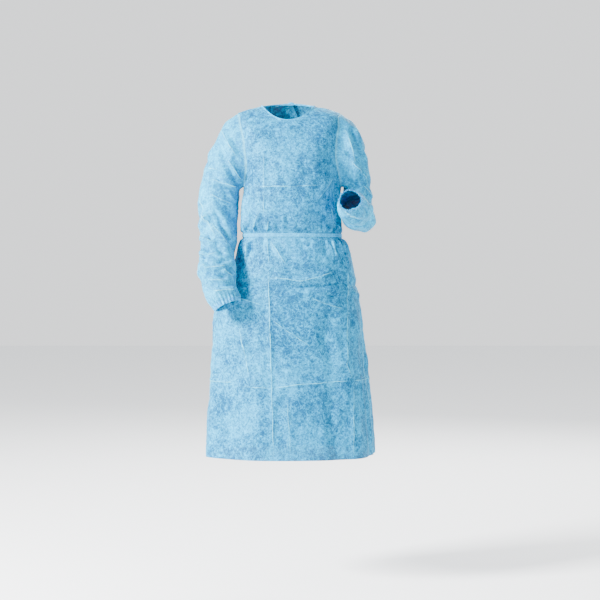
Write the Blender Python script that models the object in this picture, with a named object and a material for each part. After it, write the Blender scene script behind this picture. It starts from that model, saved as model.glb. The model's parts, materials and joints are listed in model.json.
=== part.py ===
"""Disposable visitor gown in its worn form: thin nonwoven cloth, open down the back.

Metres, +Z up. The origin is the middle of the neck opening at shoulder height, the front
faces -Y and the wearer's left is +X. Body angles run from the centre front (0 degrees)
round either side (90 degrees) to the centre back (180 degrees), positive to the wearer's
left. The cloth's middle surface is worked out first, for the body and both sleeves
together, and each panel is then a wall of even thickness round its share of it.
"""

import math
from collections import namedtuple

import bpy
import numpy as np
from mathutils import Vector
from mathutils.bvhtree import BVHTree

# Wall thicknesses and the gap between pieces that meet at a seam
CLOTH_WALL = 0.0012
CUFF_WALL = 0.0020
BINDING_WALL = 0.0020
TIE_WALL = 0.0010
SEAM_GAP = 0.0003
MITRE_LIMIT = 1.5
SHARPEST_BEND = 0.3
EDGE_SHARE = 0.5
CORNER_SHARE = 0.75
SHARP_EDGE_DEG = 50.0

# Columns of the body grid on each side of the centre front
FRONT_COLUMNS = 10
BACK_COLUMNS = 12
ARMHOLE_COLUMNS = 3
CORNER_SLIDE = 0.3
NORMAL_STEP = 0.01

# Along a sleeve: its first row below the armhole, how many rings it takes to turn from the
# armhole's outline into an oval, and the reach over which its direction is measured
FIRST_SLEEVE_KEY = 0.5
BLEND_KEYS = 2.2
DIRECTION_REACH = 0.2

# How steeply folds fade out at their ends: 3 is over a third of the fold's length
FOLD_FADE_TOP = 3.0
FOLD_FADE_BOTTOM = 8.0
SLEEVE_FOLD_FADE = 3.0

# The back panels lie one over the other: each is moved this far from the middle surface
LAP_LIFT = 0.0026
LAP_LEAD_DEG = 8.0
LAP_RISE_DEG = 22.0
LAP_LIMIT = 0.95

# Gathers that the waist tie draws in: depth, reach above and below, and where they lie
GATHER_DEPTH = 0.0042
GATHER_REACH = 0.085
GATHER_START_DEG = 48.0
GATHER_FULL_DEG = 72.0
GATHER_END_DEG = 148.0

# Gathers that the cuff elastic draws in
CUFF_GATHER_DEPTH = 0.0016
CUFF_GATHER_REACH = 5

# Ties: strip width, how clear they lie of the cloth, and the knots and tails at the back
TIE_WIDTH = 0.010
TIE_BAND = 0.012
TIE_CLEARANCE = 0.0004
TIE_STEP_CLEAR = 0.012
KNOT_CLEARANCE = 0.0007
KNOT_SEGMENTS = 12
KNOT_RINGS = 7
KNOT_BLUNTNESS = 0.96
TAIL_ROWS = 14
TAIL_LIFT = 0.0013
TAIL_WAVE = 0.0010
TAIL_WAVES_RAD = 9.0

# One row for each knot at the centre back: its height, size in X, Y and Z, then for its left
# and right tails the length, the start beside the middle and the lean at the bottom
Knot = namedtuple("Knot", "name height size lengths starts leans")
KNOTS = (
    Knot("waist", -0.3715, (0.030, 0.009, 0.017), (0.255, 0.215), (0.008, -0.008), (0.016, -0.019)),
    Knot("neck", 0.0275, (0.020, 0.008, 0.012), (0.120, 0.100), (0.007, -0.007), (0.012, -0.014)),
)

# One row for each body section, from the hem up. rows: mesh rows to the next section.
# z_*: heights at the centre front, the side and the centre back. x_right, x_left: where the
# wearer's right and left sides reach. y_front, y_back: depths. square: 2 is an ellipse.
# hole: half angle of the armhole's columns. lap: how far each back edge passes the middle.
Section = namedtuple(
    "Section", "name rows z_front z_side z_back x_right x_left y_front y_back square hole lap")
SECTIONS = (
    Section("hem", 2, -1.027, -1.028, -1.018, -0.256, 0.247, -0.172, 0.168, 2.15, 27, 0.070),
    Section("knee", 2, -0.912, -0.912, -0.912, -0.249, 0.240, -0.168, 0.163, 2.15, 27, 0.068),
    Section("thigh", 2, -0.804, -0.804, -0.804, -0.243, 0.227, -0.163, 0.157, 2.15, 27, 0.066),
    Section("seat", 2, -0.714, -0.714, -0.714, -0.237, 0.216, -0.159, 0.152, 2.20, 27, 0.064),
    Section("hip", 2, -0.606, -0.606, -0.606, -0.229, 0.206, -0.155, 0.146, 2.20, 27, 0.062),
    Section("belly", 2, -0.520, -0.520, -0.520, -0.193, 0.195, -0.150, 0.140, 2.25, 27, 0.060),
    Section("flare", 2, -0.452, -0.452, -0.452, -0.170, 0.182, -0.140, 0.130, 2.25, 27, 0.058),
    Section("below_tie", 1, -0.401, -0.401, -0.401, -0.155, 0.164, -0.125, 0.113, 2.25, 27, 0.056),
    Section("tie_low", 1, -0.3775, -0.3775, -0.3775, -0.144, 0.151, -0.116, 0.102, 2.25, 27, 0.055),
    Section("tie_high", 1, -0.3655, -0.3655, -0.3655, -0.144, 0.151, -0.116, 0.102, 2.25, 27, 0.055),
    Section("above_tie", 2, -0.341, -0.341, -0.341, -0.151, 0.149, -0.131, 0.109, 2.25, 27, 0.055),
    Section("ribs", 2, -0.278, -0.278, -0.278, -0.148, 0.148, -0.138, 0.114, 2.30, 25, 0.054),
    Section("armpit", 3, -0.222, -0.218, -0.218, -0.137, 0.148, -0.139, 0.116, 2.40, 13, 0.052),
    Section("chest", 3, -0.176, -0.150, -0.150, -0.147, 0.150, -0.134, 0.117, 2.50, 31, 0.048),
    Section("blade", 3, -0.136, -0.078, -0.092, -0.156, 0.151, -0.126, 0.113, 2.55, 33, 0.042),
    Section("shoulder", 2, -0.098, -0.008, -0.044, -0.159, 0.148, -0.116, 0.102, 2.50, 20, 0.034),
    Section("yoke", 2, -0.061, 0.006, -0.002, -0.124, 0.112, -0.101, 0.084, 2.40, 22, 0.024),
    Section("neck", 1, -0.036, 0.014, 0.025, -0.089, 0.073, -0.086, 0.063, 2.30, 24, 0.014),
    Section("neck_top", 0, -0.031, 0.0182, 0.0298, -0.0872, 0.0712, -0.0843, 0.0613, 2.30, 24, 0.014),
)

# One row for each large fold of the body: angles and heights where it starts and ends,
# its half width in degrees, and how far its middle stands out (negative: in)
Fold = namedtuple("Fold", "angle_top angle_bottom z_top z_bottom half_width depth")
BODY_FOLDS = (
    Fold(44, 54, -0.45, -1.10, 13, 0.0070),
    Fold(27, 35, -0.52, -1.10, 12, -0.0050),
    Fold(-16, -22, -0.60, -1.10, 14, 0.0045),
    Fold(-44, -46, -0.56, -1.10, 14, -0.0055),
    Fold(-66, -70, -0.60, -1.10, 12, 0.0060),
    Fold(80, 76, -0.62, -1.10, 13, -0.0105),
    Fold(104, 107, -0.46, -1.10, 15, 0.0165),
    Fold(-100, -104, -0.62, -1.10, 14, -0.0075),
    Fold(128, 130, -0.48, -1.10, 12, -0.0110),
    Fold(-126, -130, -0.48, -1.10, 14, 0.0120),
    Fold(-146, -150, -0.50, -1.10, 9, -0.0050),
    Fold(146, 150, -0.50, -1.10, 9, 0.0050),
    Fold(58, 66, -0.16, -0.34, 10, -0.0040),
    Fold(-52, -62, -0.14, -0.34, 10, -0.0040),
    Fold(126, 118, -0.10, -0.34, 12, -0.0050),
    Fold(-124, -116, -0.10, -0.34, 12, -0.0050),
)

# One row for each sleeve section, from the armhole down. outer and inner: the points of the
# sleeve furthest from the body and nearest to it. depth: half the size front to back.
Ring = namedtuple("Ring", "name rows outer inner depth")
RIGHT_SLEEVE = (
    Ring("cap", 1, (-0.200, 0.000, -0.034), (-0.1475, 0.000, -0.2330), 0.080),
    Ring("deltoid", 2, (-0.228, 0.000, -0.092), (-0.1555, 0.000, -0.2520), 0.074),
    Ring("upper", 2, (-0.251, 0.002, -0.148), (-0.1580, 0.002, -0.2740), 0.068),
    Ring("middle", 2, (-0.269, 0.003, -0.212), (-0.1590, 0.003, -0.3010), 0.063),
    Ring("above_elbow", 2, (-0.277, 0.000, -0.282), (-0.1595, 0.000, -0.3350), 0.059),
    Ring("elbow", 1, (-0.276, -0.014, -0.345), (-0.1585, -0.014, -0.3690), 0.057),
    Ring("bend", 1, (-0.265, -0.040, -0.390), (-0.1600, -0.040, -0.4010), 0.054),
    Ring("forearm", 2, (-0.268, -0.080, -0.428), (-0.1645, -0.080, -0.4360), 0.052),
    Ring("bulge", 2, (-0.272, -0.108, -0.458), (-0.1613, -0.108, -0.4700), 0.051),
    Ring("wrist", 2, (-0.266, -0.130, -0.492), (-0.1580, -0.130, -0.5060), 0.049),
    Ring("puff", 2, (-0.250, -0.145, -0.548), (-0.1510, -0.145, -0.5370), 0.044),
    Ring("elastic", 1, (-0.2265, -0.153, -0.5820), (-0.1480, -0.153, -0.5520), 0.032),
    Ring("cuff_end", 0, (-0.2185, -0.156, -0.5940), (-0.1465, -0.156, -0.5620), 0.031),
)
LEFT_SLEEVE = (
    Ring("cap", 1, (0.186, 0.000, -0.030), (0.1560, 0.000, -0.2270), 0.080),
    Ring("deltoid", 1, (0.2110, 0.001, -0.074), (0.1610, 0.001, -0.2350), 0.074),
    Ring("upper", 1, (0.223, 0.004, -0.140), (0.1610, 0.004, -0.2420), 0.068),
    Ring("middle", 1, (0.233, 0.009, -0.196), (0.1595, 0.009, -0.2490), 0.064),
    Ring("above_elbow", 1, (0.241, 0.014, -0.246), (0.1575, 0.014, -0.2600), 0.059),
    Ring("elbow_top", 1, (0.244, 0.004, -0.280), (0.1550, 0.004, -0.2840), 0.057),
    Ring("elbow", 1, (0.247, -0.014, -0.303), (0.1530, -0.014, -0.3050), 0.052),
    Ring("bend", 1, (0.244, -0.052, -0.310), (0.1510, -0.052, -0.3100), 0.045),
    Ring("forearm", 2, (0.236, -0.095, -0.303), (0.1450, -0.095, -0.3030), 0.045),
    Ring("bulge", 2, (0.229, -0.140, -0.293), (0.1380, -0.140, -0.2930), 0.045),
    Ring("wrist", 2, (0.219, -0.180, -0.284), (0.1330, -0.180, -0.2840), 0.042),
    Ring("elastic", 1, (0.203, -0.216, -0.276), (0.1370, -0.216, -0.2760), 0.032),
    Ring("cuff_end", 0, (0.202, -0.228, -0.274), (0.1360, -0.228, -0.2740), 0.031),
)

# One row for each sleeve fold: place along the sleeve (0 armhole, 1 cuff) where it starts
# and ends, angles there (0 outer side, 90 back, 180 underarm), half width along and depth
SleeveFold = namedtuple("SleeveFold", "along angle_from angle_to slope half_width depth")
RIGHT_SLEEVE_FOLDS = (
    SleeveFold(0.24, 205, 345, -0.10, 0.060, -0.0060),
    SleeveFold(0.33, 190, 310, -0.08, 0.060, -0.0060),
    SleeveFold(0.47, 245, 400, 0.03, 0.055, -0.0085),
    SleeveFold(0.58, 160, 310, 0.03, 0.045, -0.0070),
    SleeveFold(0.68, 220, 380, -0.04, 0.045, -0.0070),
    SleeveFold(0.79, 150, 330, 0.03, 0.045, -0.0060),
    SleeveFold(0.40, 20, 150, 0.05, 0.060, -0.0065),
    SleeveFold(0.52, 40, 180, -0.03, 0.055, -0.0070),
)
LEFT_SLEEVE_FOLDS = (
    SleeveFold(0.24, 215, 345, -0.08, 0.070, -0.0050),
    SleeveFold(0.68, 30, 170, 0.03, 0.050, -0.0060),
    SleeveFold(0.76, 190, 350, -0.03, 0.050, -0.0060),
    SleeveFold(0.85, 60, 240, 0.02, 0.045, -0.0050),
    SleeveFold(0.34, 10, 130, 0.06, 0.070, -0.0055),
    SleeveFold(0.58, -5, 95, 0.00, 0.110, 0.0100),
)

# A plane well behind the gown, from which its back is looked at
BEHIND = 0.5

# Base colours are linear RGB
SKY_BLUE = (0.215, 0.560, 0.790)
PALE_BLUE = (0.420, 0.740, 0.880)
CLOTH_ROUGHNESS = 0.72


def smooth_through(keys, values, at):
    """Value at a key on a smooth curve through the table's values, with no overshoot."""
    step = np.diff(keys)
    slope = np.diff(values) / step
    tangent = np.zeros(len(values))
    tangent[0] = slope[0]
    tangent[-1] = slope[-1]
    for i in range(1, len(values) - 1):
        if slope[i - 1] * slope[i] > 0:
            before = 2 * step[i] + step[i - 1]
            after = step[i] + 2 * step[i - 1]
            tangent[i] = (before + after) / (before / slope[i - 1] + after / slope[i])
    i = min(max(int(np.searchsorted(keys, at, side="right")) - 1, 0), len(step) - 1)
    t = (at - keys[i]) / step[i]
    rise = (2 * t ** 3 - 3 * t ** 2 + 1) * values[i] + (3 * t ** 2 - 2 * t ** 3) * values[i + 1]
    lean = (t ** 3 - 2 * t ** 2 + t) * tangent[i] + (t ** 3 - t ** 2) * tangent[i + 1]
    return float(rise + step[i] * lean)


def ease(value):
    """Smooth step from 0 to 1."""
    value = min(max(value, 0.0), 1.0)
    return value * value * (3 - 2 * value)


def bump(value):
    """Soft hill of height 1 that is 0 beyond -1 and 1."""
    return 0.5 + 0.5 * math.cos(math.pi * value) if abs(value) < 1 else 0.0


def unit(vector):
    """The vector at length 1."""
    return vector / max(np.linalg.norm(vector), 1e-12)


def mesh_rows(table):
    """Keys of the mesh rows: whole numbers are the table's own rows."""
    keys = [0.0]
    for index, entry in enumerate(table[:-1]):
        keys += [index + (step + 1) / entry.rows for step in range(entry.rows)]
    return keys


def row_of(table, name):
    """Number of the mesh row that lies on the named table row."""
    total = 0
    for entry in table:
        if entry.name == name:
            return total
        total += entry.rows
    raise KeyError(name)


class Body:
    """The body's middle surface, as a function of the section key and the column."""

    def __init__(self):
        keys = np.arange(len(SECTIONS), dtype=float)
        self.keys = keys
        self.columns = {
            field: np.array([getattr(section, field) for section in SECTIONS], dtype=float)
            for field in Section._fields[2:]
        }
        self.tie_z = 0.5 * (self.at("z_front", self.key("tie_low"))
                            + self.at("z_front", self.key("tie_high")))

    @staticmethod
    def key(name):
        """Section key of the named section."""
        return float([section.name for section in SECTIONS].index(name))

    def at(self, field, key):
        """One named measure of the section at this key."""
        return smooth_through(self.keys, self.columns[field], key)

    def lap_angle(self, key):
        """How many degrees each back edge passes the centre back."""
        half_width = 0.5 * (self.at("x_left", key) - self.at("x_right", key))
        share = min(self.at("lap", key) / half_width, LAP_LIMIT)
        return math.degrees(math.asin(share ** (0.5 * self.at("square", key))))

    def angle(self, key, column):
        """Angle of a column at this key, in degrees, with the armhole's columns spread."""
        hole = self.at("hole", key)
        end = 180.0 + self.lap_angle(key)
        near = FRONT_COLUMNS - ARMHOLE_COLUMNS
        far = FRONT_COLUMNS + ARMHOLE_COLUMNS
        last = FRONT_COLUMNS + BACK_COLUMNS
        degrees = np.interp(abs(column), (0, near, far, last), (0, 90 - hole, 90 + hole, end))
        return math.copysign(float(degrees), column)

    def point(self, key, column):
        """Point of the smooth middle surface, with no folds and no lap."""
        theta = math.radians(self.angle(key, column))
        power = 2.0 / self.at("square", key)
        across = math.copysign(abs(math.sin(theta)) ** power, math.sin(theta))
        along = abs(math.cos(theta)) ** power
        right = self.at("x_right", key)
        left = self.at("x_left", key)
        end = "front" if math.cos(theta) > 0 else "back"
        depth = self.at("y_" + end, key)
        side_z = self.at("z_side", key)
        rise = (self.at("z_" + end, key) - side_z) * math.cos(theta) ** 2
        x = 0.5 * (left + right) + 0.5 * (left - right) * across
        return np.array([x, depth * along, side_z + rise])

    def lap_lift(self, key, column):
        """Outward move of the left back panel and inward move of the right one."""
        start = 180.0 - self.lap_angle(key) - LAP_LEAD_DEG - LAP_RISE_DEG
        share = ease((abs(self.angle(key, column)) - start) / LAP_RISE_DEG)
        return math.copysign(LAP_LIFT * share, column)

    def gather(self, key, column, height):
        """Waist gathers: one wave for every two columns, none under the tie itself."""
        angle = abs(self.angle(key, column))
        rise = ease((angle - GATHER_START_DEG) / (GATHER_FULL_DEG - GATHER_START_DEG))
        fall = ease((GATHER_END_DEG - angle) / (GATHER_FULL_DEG - GATHER_START_DEG))
        away = abs(height - self.tie_z) - TIE_WIDTH
        if away <= 0:
            return 0.0
        reach = ease(away / (2 * TIE_WIDTH)) * (1 - ease(away / GATHER_REACH))
        return GATHER_DEPTH * rise * fall * reach * math.cos(math.pi * column)

    def folds(self, key, column, height):
        """Large soft folds from the table."""
        angle = self.angle(key, column)
        total = 0.0
        for fold in BODY_FOLDS:
            share = (fold.z_top - height) / (fold.z_top - fold.z_bottom)
            if 0 < share < 1:
                middle = fold.angle_top + (fold.angle_bottom - fold.angle_top) * share
                reach = ease(share * FOLD_FADE_TOP) * ease((1 - share) * FOLD_FADE_BOTTOM)
                total += fold.depth * reach * bump((angle - middle) / fold.half_width)
        return total

    def cloth_point(self, key, column):
        """Point of the cloth's middle surface with its lap, gathers and folds."""
        step = NORMAL_STEP
        here = self.point(key, column)
        low, high = max(key - step, 0.0), min(key + step, len(SECTIONS) - 1.0)
        up = self.point(high, column) - self.point(low, column)
        across = self.point(key, column + step) - self.point(key, column - step)
        out = unit(np.cross(across, up))
        move = self.lap_lift(key, column) + self.gather(key, column, here[2])
        return here + out * (move + self.folds(key, column, here[2]))


class Surface:
    """Quads of the whole garment's middle surface, each marked with its panel."""

    def __init__(self):
        self.points = []
        self.quads = []
        self.panels = []

    def add_point(self, point):
        """Add a point and return its number."""
        self.points.append(np.asarray(point, dtype=float))
        return len(self.points) - 1

    def add_quad(self, panel, corners):
        """Add one quad, corners anticlockwise seen from outside."""
        self.quads.append(tuple(corners))
        self.panels.append(panel)

    def normals(self):
        """Outward normal of each quad and the mean of them at each point."""
        points = np.array(self.points)
        quads = np.array(self.quads)
        first = points[quads[:, 2]] - points[quads[:, 0]]
        second = points[quads[:, 3]] - points[quads[:, 1]]
        faces = np.cross(first, second)
        faces /= np.maximum(np.linalg.norm(faces, axis=1, keepdims=True), 1e-12)
        means = np.zeros_like(points)
        for corner in range(4):
            np.add.at(means, quads[:, corner], faces)
        lengths = np.linalg.norm(means, axis=1, keepdims=True)
        return faces, means / np.maximum(lengths, 1e-9)


def body_grid(surface, body):
    """Add the body's points and quads and return the point numbers by row and column."""
    keys = mesh_rows(SECTIONS)
    last = FRONT_COLUMNS + BACK_COLUMNS
    grid = {}
    for row in range(len(keys)):
        for column in range(-last, last + 1):
            if not in_armhole(row, column, True):
                key = rounded_key(keys, row, column)
                grid[row, column] = surface.add_point(body.cloth_point(key, column))
    neck_row = row_of(SECTIONS, "neck")
    for row in range(len(keys) - 1):
        for column in range(-last, last):
            if in_armhole(row, column, False):
                continue
            corners = [grid[row, column], grid[row, column + 1],
                       grid[row + 1, column + 1], grid[row + 1, column]]
            panel = "neck_binding" if row >= neck_row else body_panel(column)
            surface.add_quad(panel, corners)
    return grid


def rounded_key(keys, row, column):
    """Key of a grid point, slid along its column where it rounds off an armhole's corner."""
    if abs(abs(column) - FRONT_COLUMNS) == ARMHOLE_COLUMNS:
        if row == row_of(SECTIONS, "armpit"):
            return keys[row] + CORNER_SLIDE * (keys[row + 1] - keys[row])
        if row == row_of(SECTIONS, "shoulder"):
            return keys[row] - CORNER_SLIDE * (keys[row] - keys[row - 1])
    return keys[row]


def in_armhole(row, column, point):
    """Whether a grid point, or the cell above and right of it, lies inside an armhole."""
    bottom = row_of(SECTIONS, "armpit")
    top = row_of(SECTIONS, "shoulder")
    if point:
        return bottom < row < top and abs(abs(column) - FRONT_COLUMNS) < ARMHOLE_COLUMNS
    middle = abs(column + 0.5)
    return bottom <= row < top and abs(middle - FRONT_COLUMNS) < ARMHOLE_COLUMNS


def body_panel(column):
    """Panel of the cell between this column and the next."""
    middle = column + 0.5
    if abs(middle) < FRONT_COLUMNS:
        return "front_panel"
    return "back_panel_left" if middle > 0 else "back_panel_right"


def armhole_loop(grid, side):
    """Point numbers round an armhole: shoulder, back edge, underarm, front edge."""
    bottom = row_of(SECTIONS, "armpit")
    top = row_of(SECTIONS, "shoulder")
    near = FRONT_COLUMNS - ARMHOLE_COLUMNS
    far = FRONT_COLUMNS + ARMHOLE_COLUMNS
    loop = [grid[top, side * column] for column in range(FRONT_COLUMNS, far)]
    loop += [grid[row, side * far] for row in range(top, bottom, -1)]
    loop += [grid[bottom, side * column] for column in range(far, near, -1)]
    loop += [grid[row, side * near] for row in range(bottom, top)]
    loop += [grid[top, side * column] for column in range(near, FRONT_COLUMNS)]
    return loop


class Sleeve:
    """One sleeve's middle surface, from its armhole to the end of its cuff."""

    def __init__(self, name, side, rings, folds):
        self.name = name
        self.side = side
        self.rings = rings
        self.folds = folds
        self.keys = np.arange(len(rings) + 1, dtype=float)

    def tables(self, loop_points):
        """Outer points, inner points and half depths, with the armhole's own first."""
        middle = len(loop_points) // 2
        depth = 0.5 * (loop_points[:, 1].max() - loop_points[:, 1].min())
        outer = np.vstack([loop_points[0], [ring.outer for ring in self.rings]])
        inner = np.vstack([loop_points[middle], [ring.inner for ring in self.rings]])
        return outer, inner, np.array([depth] + [ring.depth for ring in self.rings])

    def row_keys(self):
        """Keys of the sleeve's mesh rows; the armhole's key is 0."""
        return [0.0, FIRST_SLEEVE_KEY] + [1.0 + key for key in mesh_rows(self.rings)]

    def fold_move(self, along, angle):
        """Move out or in at this place along the sleeve and this angle round it."""
        total = 0.0
        for fold in self.folds:
            span = fold.angle_to - fold.angle_from
            for turn in (0.0, 360.0):
                share = (angle + turn - fold.angle_from) / span
                if 0 < share < 1:
                    middle = fold.along + fold.slope * (share - 0.5)
                    reach = ease(share * SLEEVE_FOLD_FADE) * ease((1 - share) * SLEEVE_FOLD_FADE)
                    total += fold.depth * reach * bump((along - middle) / fold.half_width)
        return total

    def build(self, surface, loop):
        """Add the sleeve's rings from the armhole loop down to the cuff's end."""
        loop_points = np.array([surface.points[number] for number in loop])
        count = len(loop)
        outer, inner, depths = self.tables(loop_points)
        middles = 0.5 * (outer + inner)
        keys = self.row_keys()
        elastic = keys.index(float(len(self.rings) - 1))
        loop_offsets = loop_points - middles[0]
        rows = [list(loop)]
        for row, key in enumerate(keys[1:], start=1):
            outer_at = self.along_table(outer, key)
            inner_at = self.along_table(inner, key)
            middle = 0.5 * (outer_at + inner_at)
            half = 0.5 * (outer_at - inner_at)
            ahead = self.along_table(middles, min(key + DIRECTION_REACH, self.keys[-1]))
            behind = self.along_table(middles, max(key - DIRECTION_REACH, 0.0))
            tangent = unit(ahead - behind)
            back = unit(self.side * np.cross(half, tangent))
            depth = smooth_through(self.keys, depths, key)
            along = key / self.keys[-1]
            share = ease(key / BLEND_KEYS)
            pinch = ease((row - elastic + CUFF_GATHER_REACH) / CUFF_GATHER_REACH)
            ring = []
            for index in range(count):
                angle = 360.0 * index / count
                turn = math.radians(angle)
                offset = half * math.cos(turn) + back * depth * math.sin(turn)
                offset = (1 - share) * loop_offsets[index] + share * offset
                move = share * self.fold_move(along, angle)
                move += CUFF_GATHER_DEPTH * pinch * (1 if index % 2 else -1)
                ring.append(surface.add_point(middle + offset + unit(offset) * move))
            rows.append(ring)
        self.add_rings(surface, rows, elastic)
        return rows

    def along_table(self, table, key):
        """Point at this key on a smooth curve through the table's points."""
        return np.array([smooth_through(self.keys, table[:, axis], key) for axis in range(3)])

    def add_rings(self, surface, rows, elastic):
        """Join the rings with quads; the last rows are the cuff."""
        count = len(rows[0])
        for row in range(len(rows) - 1):
            panel = ("cuff_" if row >= elastic else "sleeve_") + self.name
            for index in range(count):
                following = (index + 1) % count
                corners = [rows[row][index], rows[row][following],
                           rows[row + 1][following], rows[row + 1][index]]
                surface.add_quad(panel, corners if self.side < 0 else corners[::-1])


def panel_wall(surface, panel, thickness, normals, faces):
    """Closed wall round one panel: vertices and faces for its mesh."""
    cells = [quad for quad, name in zip(surface.quads, surface.panels) if name == panel]
    numbers = sorted({number for quad in cells for number in quad})
    cell_normals = faces[[name == panel for name in surface.panels]]
    inward, bends = edge_moves(surface, cells, cell_normals, normals)
    outer, inner = [], []
    for number in numbers:
        point = surface.points[number] + inward.get(number, 0.0)
        half = 0.5 * thickness * min(1.0 / max(bends[number], SHARPEST_BEND), MITRE_LIMIT)
        outer.append(point + normals[number] * half)
        inner.append(point - normals[number] * half)
    order = {number: index for index, number in enumerate(numbers)}
    count = len(numbers)
    polygons = []
    for quad in cells:
        for triangle in halves(surface.points, quad):
            corners = [order[number] for number in triangle]
            polygons.append(corners)
            polygons.append([count + corner for corner in reversed(corners)])
    for start, end in boundary_edges(cells):
        first, second = order[start], order[end]
        polygons.append([second, first, count + first, count + second])
    return outer + inner, polygons


def halves(points, quad):
    """The quad's two triangles, split along its shorter diagonal."""
    a, b, c, d = quad
    if np.linalg.norm(points[a] - points[c]) <= np.linalg.norm(points[b] - points[d]):
        return (a, b, c), (a, c, d)
    return (a, b, d), (b, c, d)


def boundary_edges(cells):
    """Edges that only one of these cells has, in that cell's own direction."""
    directed = {(quad[i], quad[(i + 1) % 4]) for quad in cells for i in range(4)}
    return [edge for edge in directed if (edge[1], edge[0]) not in directed]


def edge_moves(surface, cells, cell_normals, normals):
    """Half a seam gap's move into the panel at each edge point, and each point's mitre."""
    edge_points = {number for edge in boundary_edges(cells) for number in edge}
    towards = {}
    bends = {}
    for quad, normal in zip(cells, cell_normals):
        centre = sum(surface.points[number] for number in quad) / 4
        for number in quad:
            bend = float(np.dot(normal, normals[number]))
            bends[number] = min(bends.get(number, 1.0), bend)
            if number in edge_points:
                towards.setdefault(number, []).append(centre - surface.points[number])
    inward = {}
    for number, vectors in towards.items():
        mean = sum(unit(vector) for vector in vectors)
        mean = mean - np.dot(mean, normals[number]) * normals[number]
        gap = SEAM_GAP / max(bends[number], SHARPEST_BEND)
        inward[number] = unit(mean) * gap * (CORNER_SHARE if len(vectors) == 1 else EDGE_SHARE)
    return inward, bends


def cloth_material(name, colour):
    """Matt cloth finish."""
    material = bpy.data.materials.new(name)
    material.use_nodes = True
    shader = material.node_tree.nodes["Principled BSDF"]
    shader.inputs["Base Color"].default_value = (*colour, 1.0)
    shader.inputs["Roughness"].default_value = CLOTH_ROUGHNESS
    shader.inputs["Metallic"].default_value = 0.0
    return material


def add_object(name, vertices, polygons, colour):
    """One named object with its own material, shaded smooth but for its cut edges."""
    mesh = bpy.data.meshes.new(name)
    mesh.from_pydata([tuple(vertex) for vertex in vertices], [], polygons)
    mesh.update()
    mesh.shade_smooth()
    mesh.set_sharp_from_angle(angle=math.radians(SHARP_EDGE_DEG))
    mesh.materials.append(cloth_material(name, colour))
    item = bpy.data.objects.new(name, mesh)
    bpy.context.scene.collection.objects.link(item)
    return item


def strip_wall(lines, normals, thickness, closed):
    """Closed wall round a strip. lines: rows of points, one for each step along it."""
    steps, width = len(lines), len(lines[0])
    vertices = []
    for sign in (0.5, -0.5):
        for line, row_normals in zip(lines, normals):
            vertices += [point + normal * thickness * sign
                         for point, normal in zip(line, row_normals)]
    under = steps * width
    polygons = []
    spans = steps if closed else steps - 1
    for step in range(spans):
        here, there = step * width, ((step + 1) % steps) * width
        for place in range(width - 1):
            quad = [here + place, there + place, there + place + 1, here + place + 1]
            for triangle in halves(vertices, quad):
                polygons.append(list(triangle))
                polygons.append([under + corner for corner in reversed(triangle)])
        low = [there, here, under + here, under + there]
        high = [here + width - 1, there + width - 1]
        polygons.append(low)
        polygons.append(high + [under + high[1], under + high[0]])
    if not closed:
        for line in (0, steps - 1):
            ends = [line * width + place for place in range(width)]
            rim = [under + number for number in reversed(ends)]
            polygons.append(ends + rim if line == 0 else (ends + rim)[::-1])
    return vertices, polygons


def waist_tie(surface, grid, normals):
    """Flat tie round the waist, made from the panels' points moved out."""
    low, high = row_of(SECTIONS, "tie_low"), row_of(SECTIONS, "tie_high")
    last = FRONT_COLUMNS + BACK_COLUMNS
    out = 0.5 * CLOTH_WALL + TIE_CLEARANCE + 0.5 * TIE_WALL
    inset = 0.5 * (1 - TIE_WIDTH / TIE_BAND)
    lines, directions = [], []
    first = -last + covered_columns(surface, grid, low)
    for column in range(first, last + 1):
        bottom, top = grid[low, column], grid[high, column]
        direction = unit(normals[bottom] + normals[top])
        below = surface.points[bottom] * (1 - inset) + surface.points[top] * inset
        above = surface.points[top] * (1 - inset) + surface.points[bottom] * inset
        lines.append([below + direction * out, above + direction * out])
        directions.append([direction, direction])
    vertices, polygons = strip_wall(lines, directions, TIE_WALL, True)
    add_object("waist_tie", vertices, polygons, PALE_BLUE)
    return lines, directions


def covered_columns(surface, grid, row):
    """How many columns of the right back panel the left one covers, and one more."""
    last = FRONT_COLUMNS + BACK_COLUMNS
    edge = surface.points[grid[row, last]][0]
    count = 0
    while surface.points[grid[row, -last + count]][0] > edge - TIE_STEP_CLEAR:
        count += 1
    return count


def knot_ball(name, middle, size):
    """Soft flattened knot: a squashed ball with blunt poles at its two ends in X."""
    vertices, polygons = [], []
    for ring in range(KNOT_RINGS):
        share = ring / (KNOT_RINGS - 1) - 0.5
        radius = math.sqrt(0.25 - (KNOT_BLUNTNESS * share) ** 2)
        for index in range(KNOT_SEGMENTS):
            turn = 2 * math.pi * index / KNOT_SEGMENTS
            vertices.append(np.array([
                middle[0] + size[0] * share,
                middle[1] + size[1] * radius * math.cos(turn),
                middle[2] + size[2] * radius * math.sin(turn)]))
    for ring in range(KNOT_RINGS - 1):
        for index in range(KNOT_SEGMENTS):
            here = ring * KNOT_SEGMENTS
            following = (index + 1) % KNOT_SEGMENTS
            polygons.append([here + index, here + following,
                             here + KNOT_SEGMENTS + following, here + KNOT_SEGMENTS + index])
    polygons.append(list(reversed(range(KNOT_SEGMENTS))))
    polygons.append([(KNOT_RINGS - 1) * KNOT_SEGMENTS + index for index in range(KNOT_SEGMENTS)])
    add_object(name, vertices, polygons, PALE_BLUE)


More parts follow.
